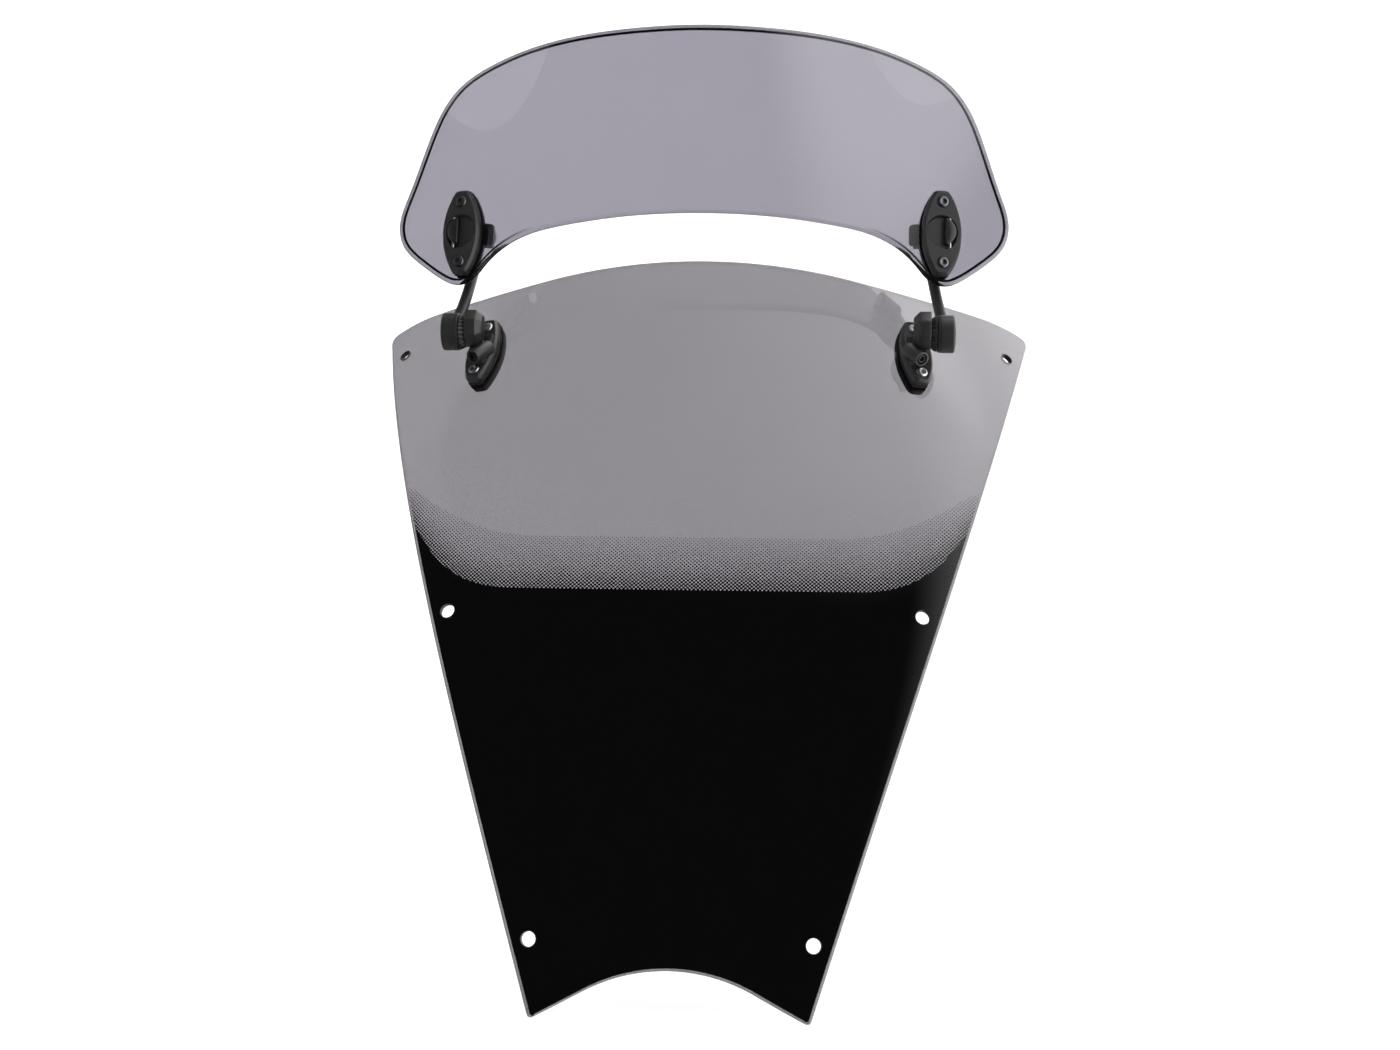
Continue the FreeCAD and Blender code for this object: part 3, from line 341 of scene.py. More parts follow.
def sheetPiece(name, surface, outline, holes, form, materials, node, body, count):
    # A bent sheet: the outline and holes are carried through its thickness on half-round rims, and both
    # faces are filled on a grid. A rim point is outline minus r (1 - sin a), lifted r cos a along the normal.
    shell, normals = Shell(), []
    thick = form["thick"]
    radius = thick / 2
    edge = evenLoop(outline, count, 1.6)
    if np.sum(edge[:, 0] * np.roll(edge[:, 1], -1) - np.roll(edge[:, 0], -1) * edge[:, 1]) < 0:
        edge = edge[::-1]
    edgeOut = loopNormals(edge)
    for _ in range(form["soften"]):
        edgeOut = (np.roll(edgeOut, 1, 0) + 2 * edgeOut + np.roll(edgeOut, -1, 0)) / 4
    edgeOut /= np.linalg.norm(edgeOut, axis=1)[:, None]
    steps = np.radians([0, 10, 24, 40, 58, 76, 90, 104, 122, 140, 156, 170, 180])

    def place(flat, height, analytic, onEdge=False):
        if onEdge:
            # The outline holds at mid thickness, so the front face's line is moved by half of it.
            flat = flat + radius * frontNormal(surface, flat[:, 0], flat[:, 1])[:, [0, 2]]
        x, z = flat[:, 0], flat[:, 1]
        n = frontNormal(surface, x, z)
        spot = np.stack([x, surface(x, z), z], 1) + n * (height - radius)[:, None]
        normals.append(n * analytic)
        return shell.add(spot)

    def bored(centre, bore):
        # A circle in the sheet's own plane at the hole, seen along y.
        _, across, up, _ = onSheet(surface, *centre)
        return circle(bore, (0, 0), 40) @ np.array([across[[0, 2]], up[[0, 2]]]) + centre

    rings, holeRims = [], []
    for a in steps:
        flat = edge - edgeOut * radius * (1 - math.sin(a))
        rings.append(place(flat, np.full(len(flat), radius * math.cos(a)), 0, True))
    ease = form["holeEase"]
    profile = [(ease, 1), (ease * 0.3, 1 - ease * 0.3 / radius), (0, 1 - ease / radius),
               (0, -1 + ease / radius), (ease * 0.3, -1 + ease * 0.3 / radius), (ease, -1)]
    for centre, bore in holes:
        holeRims.append([place(bored(centre, bore + o), np.full(40, radius * h), 0) for o, h in profile])

    front = edge - edgeOut * radius
    cuts = [bored(centre, bore + ease) for centre, bore in holes]
    points, triangles = fillPlane(front, cuts, form["spacing"])
    borders = len(front) + sum(len(c) for c in cuts)
    for high, way, number, ringIndex, holeIndex in ((1, 1, 0, 0, 0), (-1, -1, 1, -1, -1)):
        inner = place(points[borders:], np.full(len(points) - borders, high * radius), high)
        index = np.concatenate([rings[ringIndex], *[rim[holeIndex] for rim in holeRims], inner])
        face = index[triangles]
        shell.face(face if way > 0 else face[:, ::-1], number)
    for a, b in zip(rings[:-1], rings[1:]):
        shell.band(b, a, 2)
    for rim in holeRims:
        for a, b in zip(rim[:-1], rim[1:]):
            shell.band(a, b, 3)
    normal = np.vstack(normals)
    borderFront = np.concatenate([rings[0], *[rim[0] for rim in holeRims]])
    borderBack = np.concatenate([rings[-1], *[rim[-1] for rim in holeRims]])
    spots = np.vstack(shell.points)
    for border, sign in ((borderFront, 1), (borderBack, -1)):
        normal[border] = sign * frontNormal(surface, spots[border, 0], spots[border, 2])
    piece = makePiece(name, shell, materials, body, [node], sharp=180, normals=normal)
    depth = piece.data.attributes.new("fromEdge", "FLOAT", "POINT")
    flat = spots[:, [0, 2]]
    away = np.array([np.min(np.linalg.norm(edge - p, axis=1)) for p in flat])
    depth.data.foreach_set("value", away.astype(np.float32))
    return piece, flat


def smokeAcrylic(name, tint, line=None, printed=False):
    # Cast acrylic (PMMA), smoke tinted, thermoformed with flame-polished edges: clear, glossy, IOR 1.49.
    # Lamps reach through it, tinted, so what stands behind it is lit.
    material, output = startMaterial(name)
    glass = addNode(material, "BsdfPrincipled", {
        "Base Color": linear(tint), "Roughness": 0.02, "IOR": 1.49, "Transmission Weight": 1.0,
    })
    through = addNode(material, "BsdfTransparent", {"Color": linear(tint)})
    path = addNode(material, "LightPath")
    sheet = addNode(material, "MixShader", None, {
        0: (path, "Is Shadow Ray"), 1: (glass, 0), 2: (through, 0),
    })
    last = sheet
    if printed:
        # Back print: screen-printed black ink, solid below and fading out upwards in dots.
        # Dots: cos(2 pi x / wide) times cos(2 pi z / tall) is above a level that falls as the fade grows.
        ink = addNode(material, "BsdfPrincipled", {
            "Base Color": linear("#040405"), "Roughness": 0.6, "Specular IOR Level": 0.0,
        })
        spot = addNode(material, "TexCoord")
        parts = addNode(material, "SeparateXYZ", None, {0: (spot, "Object")})
        waves = []
        for axis, pitch in (("X", screenForm["dotWide"]), ("Z", screenForm["dotTall"])):
            perMetre = 2 * math.pi / (pitch * mm)
            turns = addNode(material, "Math", {"operation": "MULTIPLY", 1: perMetre}, {0: (parts, axis)})
            waves.append(addNode(material, "Math", {"operation": "COSINE"}, {0: (turns, 0)}))
        grid = addNode(material, "Math", {"operation": "MULTIPLY"}, {0: (waves[0], 0), 1: (waves[1], 0)})
        fade = addNode(material, "Attribute", {"attribute_name": "fade"})
        level = addNode(material, "MapRange", {
            "From Min": 0.0, "From Max": 1.0, "To Min": 0.6, "To Max": -0.3,
        }, {"Value": (fade, "Fac")})
        over = addNode(material, "Math", {"operation": "SUBTRACT"}, {0: (grid, 0), 1: (level, 0)})
        dots = addNode(material, "Math", {"operation": "MULTIPLY", 1: 8.0, "use_clamp": True}, {0: (over, 0)})
        begun = addNode(material, "Math", {"operation": "GREATER_THAN", 1: 0.0}, {0: (fade, "Fac")})
        solid = addNode(material, "Math", {"operation": "GREATER_THAN", 1: 1.0}, {0: (fade, "Fac")})
        shown = addNode(material, "Math", {"operation": "MULTIPLY"}, {0: (dots, 0), 1: (begun, 0)})
        mask = addNode(material, "Math", {"operation": "MAXIMUM"}, {0: (shown, 0), 1: (solid, 0)})
        last = addNode(material, "MixShader", None, {0: (mask, 0), 1: (sheet, 0), 2: (ink, 0)})
    if line:
        # A dark line is painted inside the rounded edge as painted shade, where light is turned back inside the
        # sheet. It fades out along the lower arch, where the attribute "lined" falls to 0.
        depth = addNode(material, "Attribute", {"attribute_name": "fromEdge"})
        lined = addNode(material, "Attribute", {"attribute_name": "lined"})
        begins = addNode(material, "MapRange", {
            "From Min": bladeForm["lineFrom"] - 0.2, "From Max": bladeForm["lineFrom"] + 0.1,
        }, {"Value": (depth, "Fac")})
        ends = addNode(material, "MapRange", {
            "From Min": bladeForm["lineTo"] - 0.1, "From Max": bladeForm["lineTo"] + 0.2,
            "To Min": 1.0, "To Max": 0.0,
        }, {"Value": (depth, "Fac")})
        both = addNode(material, "Math", {"operation": "MULTIPLY"}, {0: (begins, 0), 1: (ends, 0)})
        shown = addNode(material, "Math", {"operation": "MULTIPLY"}, {0: (both, 0), 1: (lined, "Fac")})
        dark = addNode(material, "BsdfPrincipled", {"Base Color": linear(line), "Roughness": 0.05, "IOR": 1.49})
        last = addNode(material, "MixShader", None, {0: (shown, 0), 1: (last, 0), 2: (dark, 0)})
    material.node_tree.links.new(last.outputs[0], output.inputs[0])
    return material


def shadedDrilledWall():
    # The same acrylic where it is drilled: a matt wall, coloured near black as painted shade so the holes read
    # as dark slits.
    material, output = startMaterial("smokeAcrylicDrilledShade")
    wall = addNode(material, "BsdfPrincipled", {
        "Base Color": linear("#101011"), "Roughness": 0.45, "IOR": 1.49,
    })
    material.node_tree.links.new(wall.outputs[0], output.inputs[0])
    return material


drilledWallShade = shadedDrilledWall()
smokeScreen, smokeBlade = "#7f7c81", "#898690"
screenClear = smokeAcrylic("smokeAcrylicScreen", smokeScreen)
screenPrint = smokeAcrylic("smokeAcrylicBackPrinted", smokeScreen, printed=True)
screenRim = smokeAcrylic("smokeAcrylicScreenRim", "#747176")
bladeClear = smokeAcrylic("smokeAcrylicBlade", smokeBlade, line="#050506")
bladeBack = smokeAcrylic("smokeAcrylicBladeBack", smokeBlade)
bladeRim = smokeAcrylic("smokeAcrylicBladeRim", "#7c7981")

leafForm = {"long": 52.0, "wide": 24.0, "end": 8.0, "ease": 1.4, "spread": 37.0, "x": 141.8, "z": 387.6}
footForm = {
    "long": 47.0, "wide": 19.0, "end": 8.0, "ease": 1.4,
    "spread": 33.0,          # between the two screws
    "x": 127.0, "z": 315.0,  # its middle on the screen
    "lean": 8.0,             # degrees that it leans inwards at the top
}
screwForm = {"head": 3.5, "tall": 2.4, "socket": 1.5, "deep": 1.5, "shank": 2.0, "seat": 3.8, "hole": 2.2}

origin, across, up, out = onSheet(screenY, footForm["x"], footForm["z"])
lean = math.radians(footForm["lean"])
leaned = across * math.cos(lean) + up * math.sin(lean), up * math.cos(lean) - across * math.sin(lean)
foot = (origin, *leaned, out)
bladeSeat = onSheet(bladeY, leafForm["x"], leafForm["z"])


def screwSpots(seat, spread):
    # The upper and the lower screw hole under a plate.
    return [((seat[0] + seat[2] * k * spread / 2)[[0, 2]], screwForm["hole"]) for k in (1, -1)]


def bothSides(spots):
    # The holes of the right half and their mirror images.
    return spots + [(np.array([-c[0], c[1]]), r) for c, r in spots]


fixingHoles = [(np.array([x, z]), radius) for x, z, radius in screenForm["holes"]]
screenHoles = bothSides(fixingHoles + screwSpots(foot, footForm["spread"]))
mainScreen, flat = sheetPiece(
    "mainScreen", screenY, screenOutline(), screenHoles, screenForm,
    [screenClear, screenPrint, screenRim, drilledWallShade], "main_screen", "screen", 512,
)
# The fade goes from 0 at the first dots to 1 where the ink is solid; both rise towards the sides.
outward = np.clip((np.abs(flat[:, 0]) - 90) / 70, 0, 1)
firstDots = screenForm["printStart"] + screenForm["startLift"] * outward**1.8
solidInk = screenForm["printSolid"] + screenForm["solidLift"] * outward**2.86
depthOfFade = (firstDots - flat[:, 1]) / (firstDots - solidInk)
fadeValues = mainScreen.data.attributes.new("fade", "FLOAT", "POINT")
fadeValues.data.foreach_set("value", depthOfFade.astype(np.float32))
bladeHoles = bothSides(screwSpots(bladeSeat, leafForm["spread"]))
spoilerBlade, flat = sheetPiece(
    "spoilerBlade", bladeY, bladeOutline(), bladeHoles, bladeForm,
    [bladeClear, bladeBack, bladeRim, drilledWallShade], "spoiler_blade", "spoiler", 512,
)
# The painted shade line inside the edge is full round the sides and the top and dies away under the lower arch.
under = np.clip((122 - np.abs(flat[:, 0])) / 25, 0, 1) * (flat[:, 1] < 440)
lined = spoilerBlade.data.attributes.new("lined", "FLOAT", "POINT")
lined.data.foreach_set("value", (1 - under).astype(np.float32))
print("sheets:", len(mainScreen.data.polygons), len(spoilerBlade.data.polygons), "faces")

def glassNylon(name, shade, rough, grain):
    # Glass-filled nylon, injection moulded with a fine spark-eroded grain: dull charcoal with soft highlights.
    material, output = startMaterial(name)
    cloudWide = 14.0  # mm, the broad patches of more and less gloss
    place = {"Vector": (addNode(material, "TexCoord"), "Object")}
    noise = addNode(material, "TexNoise", {"Scale": 1 / (grain * mm), "Detail": 3.0}, place)
    cloudy = addNode(material, "TexNoise", {"Scale": 1 / (cloudWide * mm), "Detail": 2.0}, place)
    span = {"To Min": rough - 0.06, "To Max": rough + 0.08}
    gloss = addNode(material, "MapRange", span, {"Value": (cloudy, "Fac")})
    bump = addNode(material, "Bump", {"Strength": 0.35, "Distance": 0.03 * mm}, {"Height": (noise, "Fac")})
    skin = addNode(material, "BsdfPrincipled", {"Base Color": linear(shade), "IOR": 1.53}, {
        "Roughness": (gloss, 0), "Normal": (bump, 0),
    })
    material.node_tree.links.new(skin.outputs[0], output.inputs[0])
    return material


def rubber(name, shade):
    # EPDM rubber, compression moulded: matt, slightly dusty black.
    material, output = startMaterial(name)
    dustWide = 0.6  # mm
    place = {"Vector": (addNode(material, "TexCoord"), "Object")}
    dust = addNode(material, "TexNoise", {"Scale": 1 / (dustWide * mm), "Detail": 4.0}, place)
    bump = addNode(material, "Bump", {"Strength": 0.4, "Distance": 0.04 * mm}, {"Height": (dust, "Fac")})
    skin = addNode(material, "BsdfPrincipled", {
        "Base Color": linear(shade), "IOR": 1.52, "Roughness": 0.82,
    }, {"Normal": (bump, 0)})
    material.node_tree.links.new(skin.outputs[0], output.inputs[0])
    return material


def metal(name, shade, rough, scratch):
    # Cold-headed steel, passivated or blacked: fine tool marks of the given spacing break up the highlights.
    material, output = startMaterial(name)
    place = {"Vector": (addNode(material, "TexCoord"), "Object")}
    noise = addNode(material, "TexNoise", {"Scale": 1 / (scratch * mm), "Detail": 4.0}, place)
    span = {"To Min": rough - 0.07, "To Max": rough + 0.1}
    gloss = addNode(material, "MapRange", span, {"Value": (noise, "Fac")})
    bump = addNode(material, "Bump", {"Strength": 0.2, "Distance": 0.01 * mm}, {"Height": (noise, "Fac")})
    skin = addNode(material, "BsdfPrincipled", {"Base Color": linear(shade), "Metallic": 1.0}, {
        "Roughness": (gloss, 0), "Normal": (bump, 0),
    })
    material.node_tree.links.new(skin.outputs[0], output.inputs[0])
    return material


charcoalNylon = glassNylon("glassFilledNylonMoulded", "#1d1d1e", 0.4, 0.35)
buttonNylon = glassNylon("nylonButtonMoulded", "#161617", 0.34, 0.5)
epdm = rubber("epdmRubberMoulded", "#191919")
stainless = metal("stainlessSteelTurned", "#c8c9cb", 0.3, 0.3)
blackSteel = metal("blackedSteel", "#3a3a3c", 0.35, 0.3)
# The blade screws are the same stainless as the foot screws; their darker grey here is painted shade.
shadedStainless = metal("stainlessSteelShadedHeads", "#6e6f72", 0.33, 0.3)

slotMaterials = {
    "black_nylon": charcoalNylon, "button_nylon": buttonNylon, "epdm_rubber": epdm,
    "stainless_steel": stainless, "black_steel": blackSteel,
}


def dressNodes():
    # Every node still shown gets the procedural material of its record slot.
    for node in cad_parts.values():
        for place in node.material_slots:
            name = place.material.name.split(".")[0]
            if name in slotMaterials:
                place.material = slotMaterials[name]


def layOn(seat, rear=False):
    # Maps (across, up, height) to space; rear plates turn half round, so their height is counted rearwards.
    origin, across, up, out = seat
    way = -1 if rear else 1

    def lay(flat, height):
        return origin + way * np.outer(flat[:, 0], across) + np.outer(flat[:, 1], up) + way * height * out

    return lay


def layAlongX(flat, height):
    # Loops given in (y, z) are stacked along x.
    return np.column_stack([np.full(len(flat), float(height)), flat])


def contourPlate(shell, lay, loop, profile, pockets=()):
    # A solid whose side follows profile, pairs of (inset, height) from its underside to its top.
    # A pocket is (loop, pairs) sunk into the top, the last pair being its floor.
    out = loopNormals(loop)
    rings = [shell.add(lay(loop - out * inset, height)) for inset, height in profile]
    under, top = loop - out * profile[0][0], loop - out * profile[-1][0]
    triangles = fillPlane(under)[1]
    shell.face(rings[0][triangles[:, ::-1]])
    for a, b in zip(rings[:-1], rings[1:]):
        shell.band(a, b)
    mouths = []
    for hole, steps in pockets:
        away = loopNormals(hole)
        walls = [shell.add(lay(hole - away * inset, height)) for inset, height in steps]
        for a, b in zip(walls[:-1], walls[1:]):
            shell.band(a, b)
        shell.face(walls[-1][fillPlane(hole - away * steps[-1][0])[1]])
        mouths.append((hole - away * steps[0][0], walls[0]))
    triangles = fillPlane(top, [flat for flat, _ in mouths])[1]
    shell.face(np.concatenate([rings[-1], *[index for _, index in mouths]])[triangles])


def turnedStack(shell, start, axis, rings, count=48, closed=False, turn=0.0):
    # Rings about an axis: (radius, height) or (radius, height, sides); closed joins the last ring to the first,
    # otherwise both ends run to a pole. A ring with sides is a polygon of that corner radius.
    axis = np.array(axis, float) / np.linalg.norm(axis)
    u = np.cross(axis, (0, 0, 1) if abs(axis[2]) < 0.9 else (1, 0, 0))
    u /= np.linalg.norm(u)
    v = np.cross(axis, u)
    index, start = [], np.array(start, float)
    for radius, height, *sides in rings:
        flat = circle(radius, (0, 0), count, sides[0] if sides else 0, turn)
        index.append(shell.add(start + axis * height + np.outer(flat[:, 0], u) + np.outer(flat[:, 1], v)))
    for a, b in zip(index[:-1], index[1:]):
        shell.band(a, b)
    if closed:
        shell.band(index[-1], index[0])
    else:
        since = len(shell.faces)
        shell.fan(index[0], start + axis * rings[0][1])
        shell.flip(since)
        shell.fan(index[-1], start + axis * rings[-1][1])


def makePair(name, shell, material, bodies, node, sharp=32):
    # The right-hand piece and its mirror image; bodies are the right one's and the left one's.
    for side, mirror, body in (("Right", False, bodies[0]), ("Left", True, bodies[-1])):
        makePiece(name + side, shell, [material], body, [f"{node}_{side.lower()}"], sharp, mirror)


def leafLoop(plate, count=128):
    # Two long arcs between blunt ends, corners eased.
    halfLong, halfEnd, halfWide = plate["long"] / 2, plate["end"] / 2, plate["wide"] / 2
    arc = arcPoints((halfEnd, -halfLong), (halfWide, 0), (halfEnd, halfLong), 80)
    return evenLoop(np.vstack([arc, -arc]), count, plate["ease"])


def rectangleLoop(low, high, ease, count=64):
    # A rectangle with eased corners.
    (x0, y0), (x1, y1) = low, high
    return evenLoop(np.array([(x0, y0), (x1, y0), (x1, y1), (x0, y1)], float), count, ease)


def socketScrew(shell, start, axis, length, form):
    # Shank, then a button head whose rim is rounded, with a hexagon socket sunk into its crown.
    head, tall, socket = form["head"], form["tall"], form["socket"]
    turnedStack(shell, start, axis, [
        (form["shank"] - 0.4, -length), (form["shank"], -length + 0.4), (form["shank"], 0), (head - 0.15, 0),
        (head, 0.15), (head, tall * 0.5), (head - 0.18, tall * 0.76), (head - 0.55, tall * 0.92),
        (head - 1.05, tall), (socket + 0.28, tall), (socket + 0.02, tall - 0.22, 6),
        (socket, tall - form["deep"], 6),
        (0.3, tall - form["deep"] - 0.3),
    ])


def footParts():
    # Leaf plates and screws on the screen: bevelled plate and boss in front, plate with nuts behind.
    lay, layRear, loop = layOn(foot), layOn(foot, True), leafLoop(footForm)
    half = footForm["spread"] / 2
    seats = [circle(screwForm["seat"], (0, k * half)) for k in (1, -1)]
    shell = Shell()
    bevel = [(0.5, 1.5), (0.1, 1.7), (0, 2.1), (0, 4.2), (0.2, 4.7), (1.1, 5.8), (1.4, 6.0)]
    contourPlate(shell, lay, loop, bevel, [(s, [(0, 6.0), (0.2, 5.8), (0.2, 4.6)]) for s in seats])
    boss = rectangleLoop((-7.5, -9), (2.5, 9), 1.2)
    contourPlate(shell, lay, boss, [(0.2, 2), (0, 6), (0, 7.1), (0.2, 7.7), (0.6, 8.0)])
    makePair("footPlate", shell, charcoalNylon, ["screen"], "foot_plate")

    shell = Shell()
    hexes = [circle(4.1, (0, k * half), 48, 6) for k in (1, -1)]
    bevel = [(0.4, 4.5), (0, 4.9), (0, 7.4), (0.25, 8.0), (0.7, 8.5)]
    contourPlate(shell, layRear, loop, bevel, [(h, [(-0.15, 8.5), (0, 8.3), (0, 5.3)]) for h in hexes])
    makePair("counterPlate", shell, charcoalNylon, ["screen"], "counter_plate")

    origin, across, up, out = foot
    for label, k in (("Upper", 1), ("Lower", -1)):
        spot = origin + up * half * k
        shell = Shell()
        socketScrew(shell, spot + out * 4.6, out, 14.1, screwForm)
        node = f"foot_screw_{label.lower()}"
        makePair("footScrew" + label, shell, stainless, ["screen"], node)
        shell = Shell()
        nut = [(2.0, 5.3), (3.5, 5.3), (4.0, 5.6, 6), (4.0, 8.1, 6), (3.4, 8.4), (2.3, 8.4), (2.0, 8.1)]
        turnedStack(shell, spot, -out, nut, closed=True)
        node = f"foot_nut_{label.lower()}"
        makePair("footNut" + label, shell, stainless, ["screen"], node)


# Axes of the joints: where they pass x = 0, and the clamp barrel's front and direction.
drumSpot, eyeSpot = np.array([0.0, 144.0, 327.5]), np.array([0.0, 176.5, 387.8])
barrelSpot, barrelWay = np.array([131.0, 135.0, 312.0]), np.array([-0.5, 0.75, 0.43])
sideways = (1, 0, 0)


def octagonLoop(radius, ease=0.45):
    # A regular octagon, one flat up, a little above and behind the joint axis, corners eased.
    return evenLoop(circle(radius, (drumSpot[1] + 1, drumSpot[2] + 2), 480, 8, math.pi / 8), 96, ease)


clampForm = {"head": 3.1, "tall": 3.2, "socket": 1.6, "deep": 2.0, "shank": 2.0, "sunk": 3.6, "long": 5.9}
ringForm = {"teeth": 24, "toothDeep": 0.95, "perTooth": 10}


def knuckleParts():
    # A faceted block stacked from octagons, a web down to the foot and a clamp barrel with its screw.
    shell = Shell()
    stack = [(7.5, 126.3), (8.0, 126.4), (8.4, 126.7), (11.3, 129.6), (11.5, 129.9), (11.6, 130.3),
             (11.6, 135.7), (11.4, 136.2), (10.9, 136.5)]
    rings = [shell.add(layAlongX(octagonLoop(radius), x)) for radius, x in stack]
    for a, b in zip(rings[:-1], rings[1:]):
        shell.band(a, b)
    shell.face(rings[0][fillPlane(octagonLoop(stack[0][0]))[1][:, ::-1]])
    shell.face(rings[-1][fillPlane(octagonLoop(stack[-1][0]))[1]])
    web = rectangleLoop((-7, -13.5), (1, -1), 1.2)
    contourPlate(shell, layOn(foot), web, [(0.2, 5), (0, 6), (0, 13), (0.2, 13.7), (0.6, 14)])
    barrel = [(3.2, 0.4), (3.4, 0.05), (4.0, 0), (4.3, 0.15), (4.4, 0.5), (4.4, 15.2), (4.1, 15.8), (3.4, 16)]
    turnedStack(shell, barrelSpot, barrelWay, [(0.2, 3.6), (3.2, 3.6), *barrel])
    makePair("knuckle", shell, charcoalNylon, ["screen"], "knuckle")

    shell = Shell()
    seat = barrelSpot + barrelWay / np.linalg.norm(barrelWay) * clampForm["sunk"]
    socketScrew(shell, seat, -barrelWay, clampForm["long"], clampForm)
    makePair("clampScrew", shell, blackSteel, ["screen"], "clamp_screw")

    shell = Shell()
    # Teeth: the rim's radius falls by the tooth depth where a raised cosine of the angle is above a level.
    teeth, count = ringForm["teeth"], ringForm["teeth"] * ringForm["perTooth"]
    angle = 2 * np.pi * np.arange(count) / count
    gap = np.clip((0.5 + 0.5 * np.cos(angle * teeth)) * 2.2 - 0.9, 0, 1)
    ringProfile = [(3.1, 136.5, 0), (8.6, 136.5, 0.8), (9.2, 136.8, 1), (10.0, 138.4, 1), (10.2, 138.9, 0.1),
                   (10.4, 139.1, 0), (10.4, 139.5, 0), (10.2, 139.7, 0), (3.1, 139.7, 0)]
    index = []
    for radius, x, deep in ringProfile:
        reach = radius - ringForm["toothDeep"] * deep * gap
        flat = np.stack([drumSpot[1] + reach * np.cos(angle), drumSpot[2] + reach * np.sin(angle)], 1)
        index.append(shell.add(layAlongX(flat, x)))
    for a, b in zip(index, index[1:] + index[:1]):
        shell.band(a, b)
    makePair("lockRing", shell, charcoalNylon, ["screen"], "lock_ring")


armForm = {
    "bow": 7.2,     # how far the bar bows rearwards
    "half": 3.5,    # half its thickness
    "waist": 0.35,  # how much thinner it is at the middle
    "square": 2.7,  # power of its superellipse section
}


def armParts():
    # A drum with a parting groove, a bar swept along a bowed line from drum to eye, and the eye.
    for side, bore, body in (("Right", 3.0, "arm_right"), ("Left", 2.55, "arm_left")):
        shell = Shell()
        drum = [(3.05, 140), (9.6, 140), (10.5, 140.15), (10.9, 140.5), (11, 141), (11, 141.25), (10.55, 141.4),
                (10.55, 141.7), (11, 141.85), (11, 148.6), (10.85, 149.2), (10.4, 149.7), (9.7, 149.95),
                (8.5, 150), (8.15, 149.85), (8, 149.5), (8, 143.5), (3.05, 143.5)]
        turnedStack(shell, drumSpot, sideways, drum, 96, True)
        u = np.linspace(0.135, 0.94, 40)[:, None]
        low, high = drumSpot + [145, 0, 0], eyeSpot + [134, 0, 0]
        chord = high - low
        rear = np.array([0, chord[2], -chord[1]])
        rear /= np.linalg.norm(rear)
        path = low + chord * u + rear * armForm["bow"] * 4 * u * (1 - u)
        tangent = np.gradient(path, axis=0)
        tangent /= np.linalg.norm(tangent, axis=1)[:, None]
        across = np.cross(tangent, rear)
        across /= np.linalg.norm(across, axis=1)[:, None]
        behind = np.cross(across, tangent)
        angle = np.linspace(0, 2 * np.pi, 40, endpoint=False)
        power = 2 / armForm["square"]
        cos = np.sign(np.cos(angle)) * np.abs(np.cos(angle)) ** power
        sin = np.sign(np.sin(angle)) * np.abs(np.sin(angle)) ** power
        thick = armForm["half"] - armForm["waist"] * np.sin(np.pi * u)
        section = across[:, None] * cos[None, :, None] + behind[:, None] * sin[None, :, None]
        bar = path[:, None] + thick[:, :, None] * section
        rings = [shell.add(r) for r in bar]
        since = len(shell.faces)
        for a, b in zip(rings[:-1], rings[1:]):
            shell.band(a, b)
        shell.fan(rings[-1], path[-1])
        lastFan = len(shell.faces)
        shell.fan(rings[0], path[0])
        shell.flip(lastFan)
        ringWay = np.cross(bar[0, 1] - bar[0, 0], tangent[0])
        if ringWay @ (bar[0, 0] - path[0]) < 0:
            shell.flip(since)
        eye = [(bore, 130.4), (bore + 0.4, 130), (6.2, 130), (6.8, 130.2), (7, 130.7), (7, 137.3), (6.8, 137.8),
               (6.2, 138), (bore + 0.4, 138), (bore, 137.6)]
        turnedStack(shell, eyeSpot, sideways, eye, 72, True)
        node, mirror = f"arm_{side.lower()}", side == "Left"
        makePiece("arm" + side, shell, [charcoalNylon], body, [node], 32, mirror)

    shell = Shell()
    button = [(7.3, 147.8), (7.6, 148.1), (7.6, 149.9), (7.45, 150.25), (7.1, 150.4), (6.7, 150.4),
              (6.5, 150.2)]
    dish = [(r, 149.6 + 0.6 * (r / 6.5) ** 2) for r in (5.8, 5.0, 4.0, 3.0, 2.0, 1.0, 0.3)]
    turnedStack(shell, drumSpot, sideways, button + dish, 72)
    bodies = ["button_right", "button_left"]
    makePair("releaseButton", shell, buttonNylon, bodies, "release_button")


recessForm = {"x": -0.6, "up": 0.9, "radius": 9.5, "swell": 2.2, "spread": 0.6, "point": math.radians(-66)}
leverForm = {"x": -0.5, "up": 0.5, "radius": 8.6, "flatSide": 1.2, "ease": 1.2}


